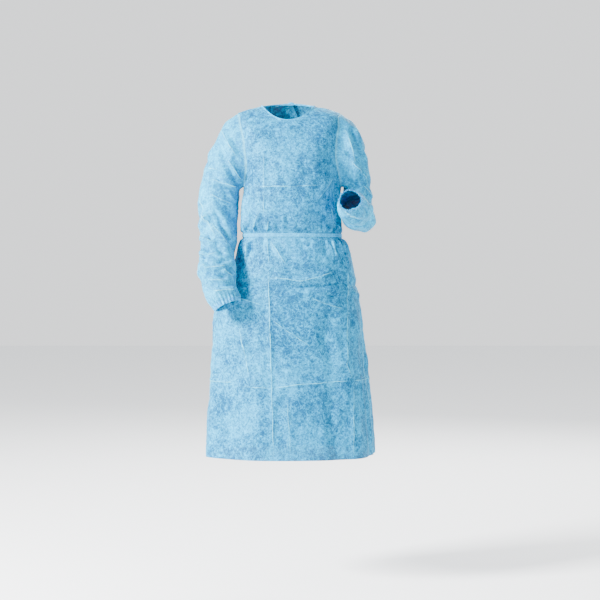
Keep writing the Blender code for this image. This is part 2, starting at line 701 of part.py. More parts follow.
def back_surface(names):
    """Function that finds the outermost of the named pieces behind a point in X and Z."""
    trees = []
    for name in names:
        mesh = bpy.data.objects[name].data
        vertices = [vertex.co for vertex in mesh.vertices]
        trees.append(BVHTree.FromPolygons(vertices, [face.vertices for face in mesh.polygons]))

    def surface_at(x, z):
        """Point and outward normal of the cloth, seen from behind."""
        start, direction = Vector((x, BEHIND, z)), Vector((0.0, -1.0, 0.0))
        hits = [tree.ray_cast(start, direction) for tree in trees]
        nearest = max((hit for hit in hits if hit[0]), key=lambda hit: hit[0].y)
        return np.array(nearest[0]), np.array(nearest[1])

    return surface_at


def tie_knot(knot, on_tie, on_cloth):
    """One knot on its tie, with two flat tails that hang down close to the back panels."""
    seat, facing = on_tie(0.0, knot.height)
    reach = np.linalg.norm(0.5 * np.array(knot.size) * facing) + KNOT_CLEARANCE
    middle = seat + facing * reach
    knot_ball(knot.name + "_knot", middle, knot.size)
    top = middle[2] - 0.5 * knot.size[2] - 2 * KNOT_CLEARANCE
    for side, length, start, lean in zip(("left", "right"), knot.lengths, knot.starts, knot.leans):
        lines, directions = [], []
        for row in range(TAIL_ROWS):
            share = row / (TAIL_ROWS - 1)
            across = start + lean * math.sin(0.5 * math.pi * share)
            lift = TAIL_LIFT + TAIL_WAVE * (0.5 + 0.5 * math.sin(TAIL_WAVES_RAD * share))
            found = [on_cloth(across + edge * TIE_WIDTH, top - length * share)
                     for edge in (0.5, -0.5)]
            facing = unit(found[0][1] + found[1][1])
            lines.append([point + facing * lift for point, _ in found])
            directions.append([facing, facing])
        vertices, polygons = strip_wall(lines, directions, TIE_WALL, False)
        add_object(knot.name + "_tail_" + side, vertices, polygons, PALE_BLUE)


def add_knots():
    """Knots and tails of the waist tie and of the neck binding's ties."""
    on_cloth = back_surface(("back_panel_left", "back_panel_right", "neck_binding"))
    seats = {"waist": back_surface(("waist_tie",)), "neck": back_surface(("neck_binding",))}
    for knot in KNOTS:
        tie_knot(knot, seats[knot.name], on_cloth)


def clear_scene():
    """Remove the objects that the scene starts with."""
    for item in list(bpy.data.objects):
        bpy.data.objects.remove(item, do_unlink=True)


def build_panels(surface):
    """Turn each panel of the middle surface into its own solid."""
    faces, normals = surface.normals()
    finishes = {
        "front_panel": (CLOTH_WALL, SKY_BLUE),
        "back_panel_left": (CLOTH_WALL, SKY_BLUE),
        "back_panel_right": (CLOTH_WALL, SKY_BLUE),
        "sleeve_left": (CLOTH_WALL, SKY_BLUE),
        "sleeve_right": (CLOTH_WALL, SKY_BLUE),
        "cuff_left": (CUFF_WALL, PALE_BLUE),
        "cuff_right": (CUFF_WALL, PALE_BLUE),
        "neck_binding": (BINDING_WALL, PALE_BLUE),
    }
    for panel, (thickness, colour) in finishes.items():
        vertices, polygons = panel_wall(surface, panel, thickness, normals, faces)
        add_object(panel, vertices, polygons, colour)
    return normals


def main():
    """Build the gown."""
    clear_scene()
    body = Body()
    surface = Surface()
    grid = body_grid(surface, body)
    for name, side, rings, folds in (("left", 1, LEFT_SLEEVE, LEFT_SLEEVE_FOLDS),
                                     ("right", -1, RIGHT_SLEEVE, RIGHT_SLEEVE_FOLDS)):
        Sleeve(name, side, rings, folds).build(surface, armhole_loop(grid, side))
    normals = build_panels(surface)
    waist_tie(surface, grid, normals)
    add_knots()


main()
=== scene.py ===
"""Disposable visitor gown with its real surfaces: creased nonwoven cloth panels, gathers, ties and stitching.

Metres, +Z up. The origin is the middle of the neck opening at shoulder height, the front faces -Y
and the wearer's left is +X. Body angles run from the centre front (0 degrees) round either side to
the centre back (180 degrees), positive to the wearer's left.
"""
import json
import logging
import math
from dataclasses import dataclass, field
from enum import Enum
from typing import Callable, NamedTuple

import bpy
import numpy as np
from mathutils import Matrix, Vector
from mathutils.bvhtree import BVHTree

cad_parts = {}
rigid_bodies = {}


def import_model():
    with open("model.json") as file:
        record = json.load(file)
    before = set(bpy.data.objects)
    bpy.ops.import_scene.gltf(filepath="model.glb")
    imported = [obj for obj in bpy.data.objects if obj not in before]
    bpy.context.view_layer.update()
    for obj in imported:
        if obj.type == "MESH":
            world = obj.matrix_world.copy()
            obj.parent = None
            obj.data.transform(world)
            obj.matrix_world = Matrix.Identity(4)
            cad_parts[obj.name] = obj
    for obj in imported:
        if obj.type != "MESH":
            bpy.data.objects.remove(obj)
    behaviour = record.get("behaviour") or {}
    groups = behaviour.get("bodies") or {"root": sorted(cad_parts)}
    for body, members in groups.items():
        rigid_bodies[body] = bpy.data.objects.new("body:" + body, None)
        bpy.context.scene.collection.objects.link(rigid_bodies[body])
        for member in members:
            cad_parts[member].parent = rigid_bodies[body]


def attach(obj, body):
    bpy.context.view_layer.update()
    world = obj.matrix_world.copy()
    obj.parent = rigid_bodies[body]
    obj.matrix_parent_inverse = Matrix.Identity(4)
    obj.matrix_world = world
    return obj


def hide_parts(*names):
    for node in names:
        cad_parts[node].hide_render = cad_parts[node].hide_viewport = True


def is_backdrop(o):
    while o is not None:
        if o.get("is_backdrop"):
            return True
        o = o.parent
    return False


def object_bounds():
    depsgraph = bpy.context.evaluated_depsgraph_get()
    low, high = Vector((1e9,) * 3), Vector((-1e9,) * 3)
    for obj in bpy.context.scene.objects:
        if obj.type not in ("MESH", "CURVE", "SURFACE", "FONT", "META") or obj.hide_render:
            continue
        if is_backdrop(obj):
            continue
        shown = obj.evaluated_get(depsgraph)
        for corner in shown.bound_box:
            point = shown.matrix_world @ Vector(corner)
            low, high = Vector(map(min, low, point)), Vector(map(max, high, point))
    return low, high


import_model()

LOG = logging.getLogger("gown")
Array = np.ndarray
Line = tuple[tuple[float, float], ...]


class Region(Enum):
    """Part of the cloth that a point belongs to."""

    BODY = 0
    SLEEVE_RIGHT = 1
    SLEEVE_LEFT = 2


class Facing(Enum):
    """Side from which a crease is seen: the axes it is drawn on and the way it faces."""

    FRONT = (0, 2, (0.0, -1.0, 0.0))
    BACK = (0, 2, (0.0, 1.0, 0.0))
    RIGHT = (1, 2, (-1.0, 0.0, 0.0))
    LEFT = (1, 2, (1.0, 0.0, 0.0))


class Side(Enum):
    """Wearer's side, as the sign of X."""

    RIGHT = -1
    LEFT = 1


class Section(NamedTuple):
    """Level section of the body: heights, reach to each side, depths, squareness, armhole and lap."""

    name: str
    z_front: float
    z_side: float
    z_back: float
    x_right: float
    x_left: float
    y_front: float
    y_back: float
    square: float
    hole: float
    lap: float


class Ring(NamedTuple):
    """Section of a sleeve: its outermost and innermost points and half its depth."""

    name: str
    outer: tuple[float, float, float]
    inner: tuple[float, float, float]
    depth: float


class Fold(NamedTuple):
    """Large fold of the body between two angles and heights, in degrees and metres."""

    angle_top: float
    angle_bottom: float
    z_top: float
    z_bottom: float
    half_width: float
    depth: float


class SleeveFold(NamedTuple):
    """Large fold across a sleeve; along runs from 0 at the armhole to 1 at the cuff."""

    along: float
    angle_from: float
    angle_to: float
    slope: float
    half_width: float
    depth: float


class Crease(NamedTuple):
    """Crease drawn on one side of the gown: a line, its half width and how far it stands out."""

    region: Region
    facing: Facing
    width: float
    depth: float
    line: Line


class Knot(NamedTuple):
    """Knot at the centre back with two hanging tails, the left one first."""

    name: str
    height: float
    size: tuple[float, float, float]
    lengths: tuple[float, float]
    starts: tuple[float, float]
    leans: tuple[float, float]


SECTIONS = (
    Section("hem", -1.027, -1.028, -1.018, -0.256, 0.247, -0.172, 0.168, 2.15, 27, 0.070),
    Section("knee", -0.912, -0.912, -0.912, -0.249, 0.240, -0.168, 0.163, 2.15, 27, 0.068),
    Section("thigh", -0.804, -0.804, -0.804, -0.243, 0.227, -0.163, 0.157, 2.15, 27, 0.066),
    Section("seat", -0.714, -0.714, -0.714, -0.237, 0.216, -0.159, 0.152, 2.20, 27, 0.064),
    Section("hip", -0.606, -0.606, -0.606, -0.229, 0.206, -0.155, 0.146, 2.20, 27, 0.062),
    Section("belly", -0.520, -0.520, -0.520, -0.193, 0.195, -0.150, 0.140, 2.25, 27, 0.060),
    Section("flare", -0.452, -0.452, -0.452, -0.170, 0.182, -0.140, 0.130, 2.25, 27, 0.058),
    Section("below_tie", -0.401, -0.401, -0.401, -0.155, 0.164, -0.125, 0.113, 2.25, 27, 0.056),
    Section("tie_low", -0.3775, -0.3775, -0.3775, -0.144, 0.151, -0.116, 0.102, 2.25, 27, 0.055),
    Section("tie_high", -0.3655, -0.3655, -0.3655, -0.144, 0.151, -0.116, 0.102, 2.25, 27, 0.055),
    Section("above_tie", -0.341, -0.341, -0.341, -0.151, 0.149, -0.131, 0.109, 2.25, 27, 0.055),
    Section("ribs", -0.278, -0.278, -0.278, -0.148, 0.148, -0.138, 0.114, 2.30, 25, 0.054),
    Section("armpit", -0.222, -0.218, -0.218, -0.137, 0.148, -0.139, 0.116, 2.40, 13, 0.052),
    Section("chest", -0.176, -0.150, -0.150, -0.147, 0.150, -0.134, 0.117, 2.50, 31, 0.048),
    Section("blade", -0.136, -0.078, -0.092, -0.156, 0.151, -0.126, 0.113, 2.55, 33, 0.042),
    Section("shoulder", -0.098, -0.008, -0.044, -0.159, 0.148, -0.116, 0.102, 2.50, 20, 0.034),
    Section("yoke", -0.061, 0.006, -0.002, -0.124, 0.112, -0.101, 0.084, 2.40, 22, 0.024),
    Section("neck", -0.036, 0.014, 0.025, -0.089, 0.073, -0.086, 0.063, 2.30, 24, 0.014),
    Section("neck_top", -0.031, 0.0182, 0.0298, -0.0872, 0.0712, -0.0843, 0.0613, 2.30, 24, 0.014),
)
BODY_FOLDS = (
    Fold(44, 54, -0.45, -1.10, 13, 0.0070),
    Fold(27, 35, -0.52, -1.10, 12, -0.0050),
    Fold(-16, -22, -0.60, -1.10, 14, 0.0045),
    Fold(-44, -46, -0.56, -1.10, 14, -0.0055),
    Fold(-66, -70, -0.60, -1.10, 12, 0.0060),
    Fold(80, 76, -0.62, -1.10, 13, -0.0105),
    Fold(104, 107, -0.46, -1.10, 15, 0.0165),
    Fold(-100, -104, -0.62, -1.10, 14, -0.0075),
    Fold(128, 130, -0.48, -1.10, 12, -0.0110),
    Fold(-126, -130, -0.48, -1.10, 14, 0.0120),
    Fold(-146, -150, -0.50, -1.10, 9, -0.0050),
    Fold(146, 150, -0.50, -1.10, 9, 0.0050),
    Fold(58, 66, -0.16, -0.34, 10, -0.0040),
    Fold(-52, -62, -0.14, -0.34, 10, -0.0040),
    Fold(126, 118, -0.10, -0.34, 12, -0.0050),
    Fold(-124, -116, -0.10, -0.34, 12, -0.0050),
)
RIGHT_RINGS = (
    Ring("cap", (-0.200, 0.000, -0.034), (-0.1475, 0.000, -0.2330), 0.080),
    Ring("deltoid", (-0.228, 0.000, -0.092), (-0.1555, 0.000, -0.2520), 0.074),
    Ring("upper", (-0.251, 0.002, -0.148), (-0.1580, 0.002, -0.2740), 0.068),
    Ring("middle", (-0.269, 0.003, -0.212), (-0.1590, 0.003, -0.3010), 0.063),
    Ring("above_elbow", (-0.277, 0.000, -0.282), (-0.1595, 0.000, -0.3350), 0.059),
    Ring("elbow", (-0.276, -0.014, -0.345), (-0.1585, -0.014, -0.3690), 0.057),
    Ring("bend", (-0.265, -0.040, -0.390), (-0.1600, -0.040, -0.4010), 0.054),
    Ring("forearm", (-0.268, -0.080, -0.428), (-0.1645, -0.080, -0.4360), 0.052),
    Ring("bulge", (-0.272, -0.108, -0.458), (-0.1613, -0.108, -0.4700), 0.051),
    Ring("wrist", (-0.266, -0.130, -0.492), (-0.1580, -0.130, -0.5060), 0.049),
    Ring("puff", (-0.250, -0.145, -0.548), (-0.1510, -0.145, -0.5370), 0.044),
    Ring("elastic", (-0.2265, -0.153, -0.5820), (-0.1480, -0.153, -0.5520), 0.032),
    Ring("cuff_end", (-0.2185, -0.156, -0.5940), (-0.1465, -0.156, -0.5620), 0.031),
)
LEFT_RINGS = (
    Ring("cap", (0.186, 0.000, -0.030), (0.1560, 0.000, -0.2270), 0.080),
    Ring("deltoid", (0.2110, 0.001, -0.074), (0.1610, 0.001, -0.2350), 0.074),
    Ring("upper", (0.223, 0.004, -0.140), (0.1610, 0.004, -0.2420), 0.068),
    Ring("middle", (0.233, 0.009, -0.196), (0.1595, 0.009, -0.2490), 0.064),
    Ring("above_elbow", (0.241, 0.014, -0.246), (0.1575, 0.014, -0.2600), 0.059),
    Ring("elbow_top", (0.244, 0.004, -0.280), (0.1550, 0.004, -0.2840), 0.057),
    Ring("elbow", (0.247, -0.014, -0.303), (0.1530, -0.014, -0.3050), 0.052),
    Ring("bend", (0.244, -0.052, -0.310), (0.1510, -0.052, -0.3100), 0.045),
    Ring("forearm", (0.236, -0.095, -0.303), (0.1450, -0.095, -0.3030), 0.045),
    Ring("bulge", (0.229, -0.140, -0.293), (0.1380, -0.140, -0.2930), 0.045),
    Ring("wrist", (0.219, -0.180, -0.284), (0.1330, -0.180, -0.2840), 0.042),
    Ring("elastic", (0.203, -0.216, -0.276), (0.1370, -0.216, -0.2760), 0.032),
    Ring("cuff_end", (0.202, -0.228, -0.274), (0.1360, -0.228, -0.2740), 0.031),
)
RIGHT_FOLDS = (
    SleeveFold(0.24, 205, 345, -0.10, 0.060, -0.0075),
    SleeveFold(0.33, 190, 310, -0.08, 0.060, -0.0075),
    SleeveFold(0.47, 245, 400, 0.03, 0.055, -0.0106),
    SleeveFold(0.58, 160, 310, 0.03, 0.045, -0.0088),
    SleeveFold(0.68, 220, 380, -0.04, 0.045, -0.0088),
    SleeveFold(0.79, 150, 330, 0.03, 0.045, -0.0075),
    SleeveFold(0.40, 20, 150, 0.05, 0.060, -0.0081),
    SleeveFold(0.52, 40, 180, -0.03, 0.055, -0.0088),
)
LEFT_FOLDS = (
    SleeveFold(0.24, 215, 345, -0.08, 0.070, -0.0063),
    SleeveFold(0.68, 30, 170, 0.03, 0.050, -0.0075),
    SleeveFold(0.76, 190, 350, -0.03, 0.050, -0.0075),
    SleeveFold(0.85, 60, 240, 0.02, 0.045, -0.0063),
    SleeveFold(0.34, 10, 130, 0.06, 0.070, -0.0069),
    SleeveFold(0.58, -5, 95, 0.00, 0.110, 0.0125),
)
TIE_HEIGHT = -0.3715
KNOTS = (
    Knot("waist", TIE_HEIGHT, (0.030, 0.009, 0.017), (0.255, 0.215), (0.008, -0.008), (0.016, -0.019)),
    Knot("neck", 0.0275, (0.020, 0.008, 0.012), (0.120, 0.100), (0.007, -0.007), (0.012, -0.014)),
)
B, SR, SL = Region.BODY, Region.SLEEVE_RIGHT, Region.SLEEVE_LEFT
FRONT, BACK, RIGHT, LEFT = Facing.FRONT, Facing.BACK, Facing.RIGHT, Facing.LEFT
MILLIMETRES = 1000


def creases(region: Region, facing: Facing, *rows: tuple) -> tuple[Crease, ...]:
    """Creases of one region seen from one side.

    Args:
        region: where the creases lie.
        facing: the side that they are drawn on.
        rows: each crease's half width, depth and points across and up, all in millimetres.

    Returns:
        The creases, in metres.
    """
    return tuple(Crease(region, facing, width / MILLIMETRES, depth / MILLIMETRES,
                        tuple((across / MILLIMETRES, up / MILLIMETRES) for across, up in line))
                 for width, depth, *line in rows)


# Half width, depth and points of each crease, in millimetres. Lines that the folded packing left are
# narrow and drawn sharp, soft wrinkles are wide. The order sets how each one sways.
CREASES = (
    *creases(B, FRONT,
             (5, 1.6, (-78, -128), (-79, -317)),
             (5.5, 2.4, (-66, -329), (-71, -362)),
             (6, 2.6, (-69, -383), (-63, -454)),
             (6, 2.6, (-65, -470), (-60, -651), (-54, -855), (-49, -1024)),
             (5.5, 2.4, (168, -471), (166, -564), (164, -680), (167, -773)),
             (6, 2.5, (158, -738), (181, -791)),
             (5.5, 2.4, (183, -805), (184, -1015)),
             (5.5, 1.8, (-113, -230), (-17, -231), (85, -227)),
             (5, 2, (-238, -801), (-171, -803)),
             (5, 1.8, (-140, -812), (-60, -817)),
             (5.5, 2.6, (-56, -816), (27, -805), (178, -797)),
             (5, 2, (187, -799), (222, -799)),
             (11, 6.3, (-56, -496), (27, -506), (85, -494), (132, -475)),
             (10, -6, (-60, -520), (27, -524), (165, -511)),
             (10, -4.8, (100, -543), (168, -566)),
             (9, 3.6, (60, -556), (150, -588)),
             (10, -5.1, (-145, -508), (-74, -510)),
             (10, -4.2, (-140, -536), (-70, -548)),
             (10, 3.9, (-150, -556), (-84, -576)),
             (8, 6, (-129, -388), (-133, -456)),
             (7, -5.4, (-119, -388), (-117, -436)),
             (7, -6, (131, -386), (154, -455)),
             (7, 4.5, (121, -387), (138, -440)),
             (7, -5.1, (88, -386), (104, -436)),
             (6.5, 3.3, (-60, -388), (-16, -456)),
             (6.5, -3, (-30, -386), (-14, -426)),
             (7, -3.3, (40, -387), (46, -424)),
             (8.5, -4.8, (-128, -356), (-112, -312)),
             (8, 4.5, (-112, -354), (-90, -300)),
             (8, -3.6, (112, -356), (96, -306)),
             (9, 3.6, (126, -352), (116, -290)),
             (11, -3.9, (-118, -196), (-70, -262)),
             (11, 3.6, (126, -200), (80, -268)),
             (12, -3, (20, -150), (70, -205)),
             (12, 3.3, (-52, -620), (60, -700)),
             (13, -3.6, (90, -640), (130, -770)),
             (13, 3.9, (-150, -640), (-120, -780)),
             (12, -3.6, (-200, -845), (-180, -1000)),
             (13, 3.6, (-10, -850), (0, -1010)),
             (12, -3.6, (110, -850), (130, -1010))),
    *creases(B, BACK,
             (5.5, 2.4, (-120, -120), (-118, -352)),
             (6, 2.6, (-121, -392), (-130, -700), (-137, -1012)),
             (6, 2.6, (118, -392), (126, -680), (139, -1010)),
             (5.5, 2.2, (112, -110), (114, -352)),
             (5.5, 2, (-130, -230), (-40, -232), (20, -228)),
             (5.5, 2, (50, -229), (128, -234)),
             (5.5, 2.4, (-225, -800), (-80, -806), (-30, -802)),
             (5.5, 2.6, (-12, -803), (110, -808), (214, -799)),
             (11, -5.4, (-150, -462), (-90, -500), (-30, -506)),
             (11, 5.1, (-160, -490), (-80, -530)),
             (11, -5.4, (30, -498), (100, -490), (160, -458)),
             (11, 5.1, (60, -526), (160, -500)),
             (12, -4.8, (-95, -120), (-55, -300)),
             (12, 4.5, (-66, -106), (-34, -280)),
             (12, -4.8, (88, -118), (60, -300)),
             (12, 4.2, (58, -100), (40, -270)),
             (13, 4.2, (-190, -620), (-150, -780)),
             (13, -4.2, (-80, -620), (-70, -780)),
             (13, 4.2, (70, -620), (60, -770)),
             (13, -4.2, (170, -840), (190, -1000))),
    *creases(B, RIGHT,
             (11, -5.4, (-90, -520), (-30, -548), (40, -540)),
             (11, 5.1, (-80, -548), (20, -575)),
             (5.5, 2.2, (-110, -801), (100, -803)),
             (13, 4.2, (-50, -640), (-30, -780))),
    *creases(B, LEFT,
             (11, -5.4, (-90, -505), (-10, -530), (60, -500)),
             (11, 4.8, (-70, -535), (30, -556)),
             (5.5, 2.2, (-110, -799), (100, -803)),
             (13, 4.2, (20, -650), (40, -780))),
    *creases(SR, FRONT,
             (9, 6.5, (-204, -60), (-182, -106), (-160, -140)),
             (8.5, -6.2, (-224, -84), (-206, -128), (-180, -160)),
             (8, 6, (-272, -262), (-250, -318), (-236, -344)),
             (8, 6.8, (-187, -148), (-146, -208)),
             (7, -6, (-197, -160), (-160, -214)),
             (5.5, 4.6, (-244, -171), (-214, -177)),
             (7.5, 6.4, (-234, -207), (-159, -228)),
             (7, -6.8, (-232, -225), (-160, -246)),
             (7.5, 4.9, (-240, -250), (-176, -276)),
             (6.5, -14.3, (-290, -392), (-262, -402), (-236, -420)),
             (8.5, 9.1, (-288, -372), (-250, -384), (-214, -396)),
             (8, 8.1, (-286, -418), (-246, -430), (-205, -424)),
             (7, -7.8, (-230, -300), (-196, -352), (-182, -392)),
             (7, 7, (-262, -300), (-236, -352), (-222, -372)),
             (7, 6.5, (-196, -470), (-170, -492)),
             (6, -6.5, (-262, -516), (-226, -536)),
             (10, 8.7, (-240, -328), (-205, -376), (-176, -414)),
             (8, -7.5, (-252, -362), (-214, -410), (-186, -436)),
             (7, -9.4, (-262, -434), (-229, -464)),
             (7, -7.5, (-229, -456), (-168, -440)),
             (7, 6.8, (-250, -470), (-190, -462)),
             (7, -7.2, (-254, -480), (-182, -496)),
             (6.5, 6.4, (-240, -500), (-180, -508)),
             (6.5, -6.8, (-234, -514), (-168, -520)),
             (6, 4.6, (-224, -534), (-160, -529))),
    *creases(SR, BACK,
             (9, -7.2, (-240, -190), (-168, -236)),
             (9, 6.8, (-246, -218), (-170, -262)),
             (9, -7.9, (-262, -310), (-190, -340)),
             (9, 7.2, (-262, -342), (-186, -352))),
    *creases(SR, RIGHT,
             (9, -7.9, (-50, -270), (10, -330), (40, -350)),
             (9, 7.2, (-60, -300), (0, -352)),
             (10, -6.4, (-40, -130), (40, -180)),
             (9, -7.5, (-140, -420), (-80, -470)),
             (8, 6, (-160, -452), (-110, -500))),
    *creases(SL, FRONT,
             (7, 7, (150, -303), (178, -316), (207, -322)),
             (7, -7, (164, -322), (200, -333), (236, -334)),
             (6.5, 6.2, (206, -268), (226, -288), (238, -310)),
             (6, -5.5, (214, -290), (228, -318)),
             (9, 6.5, (160, -60), (176, -110), (192, -160)),
             (8, -6.2, (178, -52), (198, -100), (212, -140)),
             (7.5, -6, (200, -180), (222, -222), (232, -262)),
             (7, -6.8, (146, -337), (204, -331)),
             (9, 6.8, (176, -152), (226, -204)),
             (8, -6.4, (164, -126), (212, -156)),
             (8, -6.8, (158, -206), (224, -236))),
    *creases(SL, LEFT,
             (9, -7.5, (-150, -256), (-70, -300), (-10, -290)),
             (9, 6.8, (-130, -276), (-60, -322)),
             (9, -7.2, (-50, -190), (20, -240), (60, -244)),
             (9, 6.4, (-50, -222), (10, -262)),
             (10, -5.6, (-40, -110), (50, -150))),
    *creases(SL, BACK,
             (9, -7.2, (168, -176), (230, -226)),
             (9, 6.8, (170, -206), (232, -252))),
)

FRONT_COLUMN = 10
BACK_COLUMN = 22
HOLE_COLUMNS = 3
LOOP_TOTAL = 30
LOOP_ROWS = 3
BLEND_KEYS = 2.2
TANGENT_STEP = 0.2
ARCSINE_SCALE = 0.6366


def ease(value: Array) -> Array:
    """Smooth step from 0 to 1."""
    value = np.clip(value, 0.0, 1.0)
    return value * value * (3 - 2 * value)


def bump(value: Array) -> Array:
    """Soft hill of height 1 that is 0 beyond -1 and 1."""
    return np.where(np.abs(value) < 1, 0.5 + 0.5 * np.cos(np.pi * np.clip(value, -1, 1)), 0.0)


def unit(vectors: Array) -> Array:
    """The vectors at length 1."""
    return vectors / np.maximum(np.linalg.norm(vectors, axis=-1, keepdims=True), 1e-12)


def grid_normals(points: Array) -> Array:
    """Outward normals of a grid of points whose rows run up and whose columns run anticlockwise."""
    return unit(np.cross(np.gradient(points, axis=1), np.gradient(points, axis=0)))


def run_lengths(points: Array, axis: int) -> Array:
    """Lengths along a grid's rows or columns, from 0 at the first one.

    Args:
        points: grid of points, rows first.
        axis: 0 for along the columns, 1 for along the rows.

    Returns:
        The length to each point of the grid.
    """
    steps = np.linalg.norm(np.diff(points, axis=axis), axis=-1)
    start = np.zeros_like(np.take(steps, [0], axis=axis))
    return np.concatenate([start, np.cumsum(steps, axis=axis)], axis=axis)


class SmoothTable:
    """Smooth curve through a table's values at whole-number keys, with no overshoot."""

    def __init__(self, values: list) -> None:
        """Work out the tangent at each key from the table's values."""
        self.values = np.asarray(values, dtype=float)
        slope = np.diff(self.values, axis=0)
        before, after = slope[:-1], slope[1:]
        total = np.where(np.abs(before + after) < 1e-12, 1.0, before + after)
        self.tangents = np.zeros_like(self.values)
        self.tangents[0], self.tangents[-1] = slope[0], slope[-1]
        self.tangents[1:-1] = np.where(before * after > 0, 2 * before * after / total, 0.0)

    def at(self, keys: Array) -> Array:
        """Values at these keys."""
        keys = np.asarray(keys, dtype=float)
        low = np.clip(np.floor(keys).astype(int), 0, len(self.values) - 2)
        t = keys - low
        if self.values.ndim == 2:
            t = t[..., None]
        rise = ((2 * t ** 3 - 3 * t ** 2 + 1) * self.values[low]
                + (3 * t ** 2 - 2 * t ** 3) * self.values[low + 1])
        lean = (t ** 3 - 2 * t ** 2 + t) * self.tangents[low] + (t ** 3 - t ** 2) * self.tangents[low + 1]
        return rise + lean


@dataclass
class Pleats:
    """Uneven gathers drawn in along a line: each has its place, width, depth and reach."""

    seed: int
    places: Array
    half_width: float
    depth: float
    reach: float
    jitter: float = 0.28
    middles: Array = field(init=False)
    widths: Array = field(init=False)
    depths: Array = field(init=False)
    reaches: Array = field(init=False)

    def __post_init__(self) -> None:
        """Vary the pleats from one fixed seed."""
        rng = np.random.default_rng(self.seed)
        count = len(self.places)
        self.middles = self.places + rng.uniform(-1, 1, count) * self.jitter * self.half_width
        self.widths = self.half_width * rng.uniform(0.75, 1.25, count)
        self.depths = self.depth * rng.uniform(0.55, 1.3, count)
        self.reaches = self.reach * rng.uniform(0.4, 1.3, count)

    def move(self, place: Array, away: Array, turn: float = 0.0) -> Array:
        """How far the pleats stand out.

        Args:
            place: place along the gathered line, in the units of places.
            away: distance from the gathered line.
            turn: length of a closed line, or 0 where it is open.

        Returns:
            The move for each point.
        """
        total = np.zeros(np.broadcast(place, away).shape)
        for middle, width, depth, reach in zip(self.middles, self.widths, self.depths, self.reaches):
            gap = place - middle
            if turn:
                gap = (gap + turn / 2) % turn - turn / 2
            total += depth * bump(gap / width) * (1 - ease(away / reach))
        return total


@dataclass
class ClothSheet:
    """The whole gown's middle surface: points, and quads marked with panel and pattern place."""

    points: list = field(default_factory=list)
    regions: list = field(default_factory=list)
    quads: list = field(default_factory=list)
    places: list = field(default_factory=list)
    panels: list = field(default_factory=list)
    marks: dict[str, Array] = field(default_factory=dict)
    count: int = 0

    def add_points(self, points: Array, region: Region) -> Array:
        """Add a grid of points and return their numbers in the same grid."""
        numbers = self.count + np.arange(points.shape[0] * points.shape[1]).reshape(points.shape[:2])
        self.count += numbers.size
        self.points.append(points.reshape(-1, 3))
        self.regions.append(np.full(numbers.size, region.value))
        return numbers

    def add_cells(self, numbers: Array, place: Array, keep: Array, panel: str, flip: bool = False) -> None:
        """Add the quads of a grid.

        Args:
            numbers: the grid's point numbers.
            place: pattern place of each grid point, in metres.
            keep: which cells to add.
            panel: the panel that the cells belong to.
            flip: whether the grid's corners run clockwise seen from outside.
        """
        def corners(grid: Array) -> Array:
            """Each kept cell's four corners."""
            four = np.stack([grid[:-1, :-1], grid[:-1, 1:], grid[1:, 1:], grid[1:, :-1]], axis=2)[keep]
            return four[:, ::-1] if flip else four
        quads = corners(numbers)
        self.quads.append(quads)
        self.places.append(corners(place))
        self.panels.append(np.full(len(quads), panel))

    def join(self) -> None:
        """Turn the lists into single arrays once every grid is in."""
        self.points, self.regions = np.concatenate(self.points), np.concatenate(self.regions)
        self.quads, self.places = np.concatenate(self.quads), np.concatenate(self.places)
        self.panels = np.concatenate(self.panels)
        count = len(self.points)
        self.marks = {"upright": np.zeros((count, 3)), "level": np.zeros((count, 3)), "seam": np.zeros(count)}
        sides = np.concatenate([self.quads[:, [i, (i + 1) % 4]] for i in range(4)])
        self.edges = np.unique(np.sort(sides, axis=1), axis=0)

    def normals(self) -> Array:
        """Outward normal at each point."""
        corner = self.points[self.quads]
        faces = unit(np.cross(corner[:, 2] - corner[:, 0], corner[:, 3] - corner[:, 1]))
        total = np.zeros_like(self.points)
        for i in range(4):
            np.add.at(total, self.quads[:, i], faces)
        return unit(total)

    def distance_to(self, line: Array) -> Array:
        """Distance of each point from the nearest of a line's points."""
        nearest = np.full(len(self.points), 1e9)
        for point in line:
            nearest = np.minimum(nearest, ((self.points - point) ** 2).sum(axis=1))
        return np.sqrt(nearest)

    def relax(self, weight: Array, rounds: int) -> None:
        """Even the surface out where the weight is above 0."""
        first, second = self.edges[:, 0], self.edges[:, 1]
        busy = (weight[first] > 0) | (weight[second] > 0)
        first, second = first[busy], second[busy]
        neighbours = np.bincount(np.concatenate([first, second]), minlength=len(self.points))
        share = (0.5 * weight)[:, None]
        for _ in range(rounds):
            total = np.zeros_like(self.points)
            for axis in range(3):
                total[:, axis] += np.bincount(first, self.points[second, axis], len(self.points))
                total[:, axis] += np.bincount(second, self.points[first, axis], len(self.points))
            mean = total / np.maximum(neighbours, 1)[:, None]
            self.points = np.where(share > 0, self.points + share * (mean - self.points), self.points)


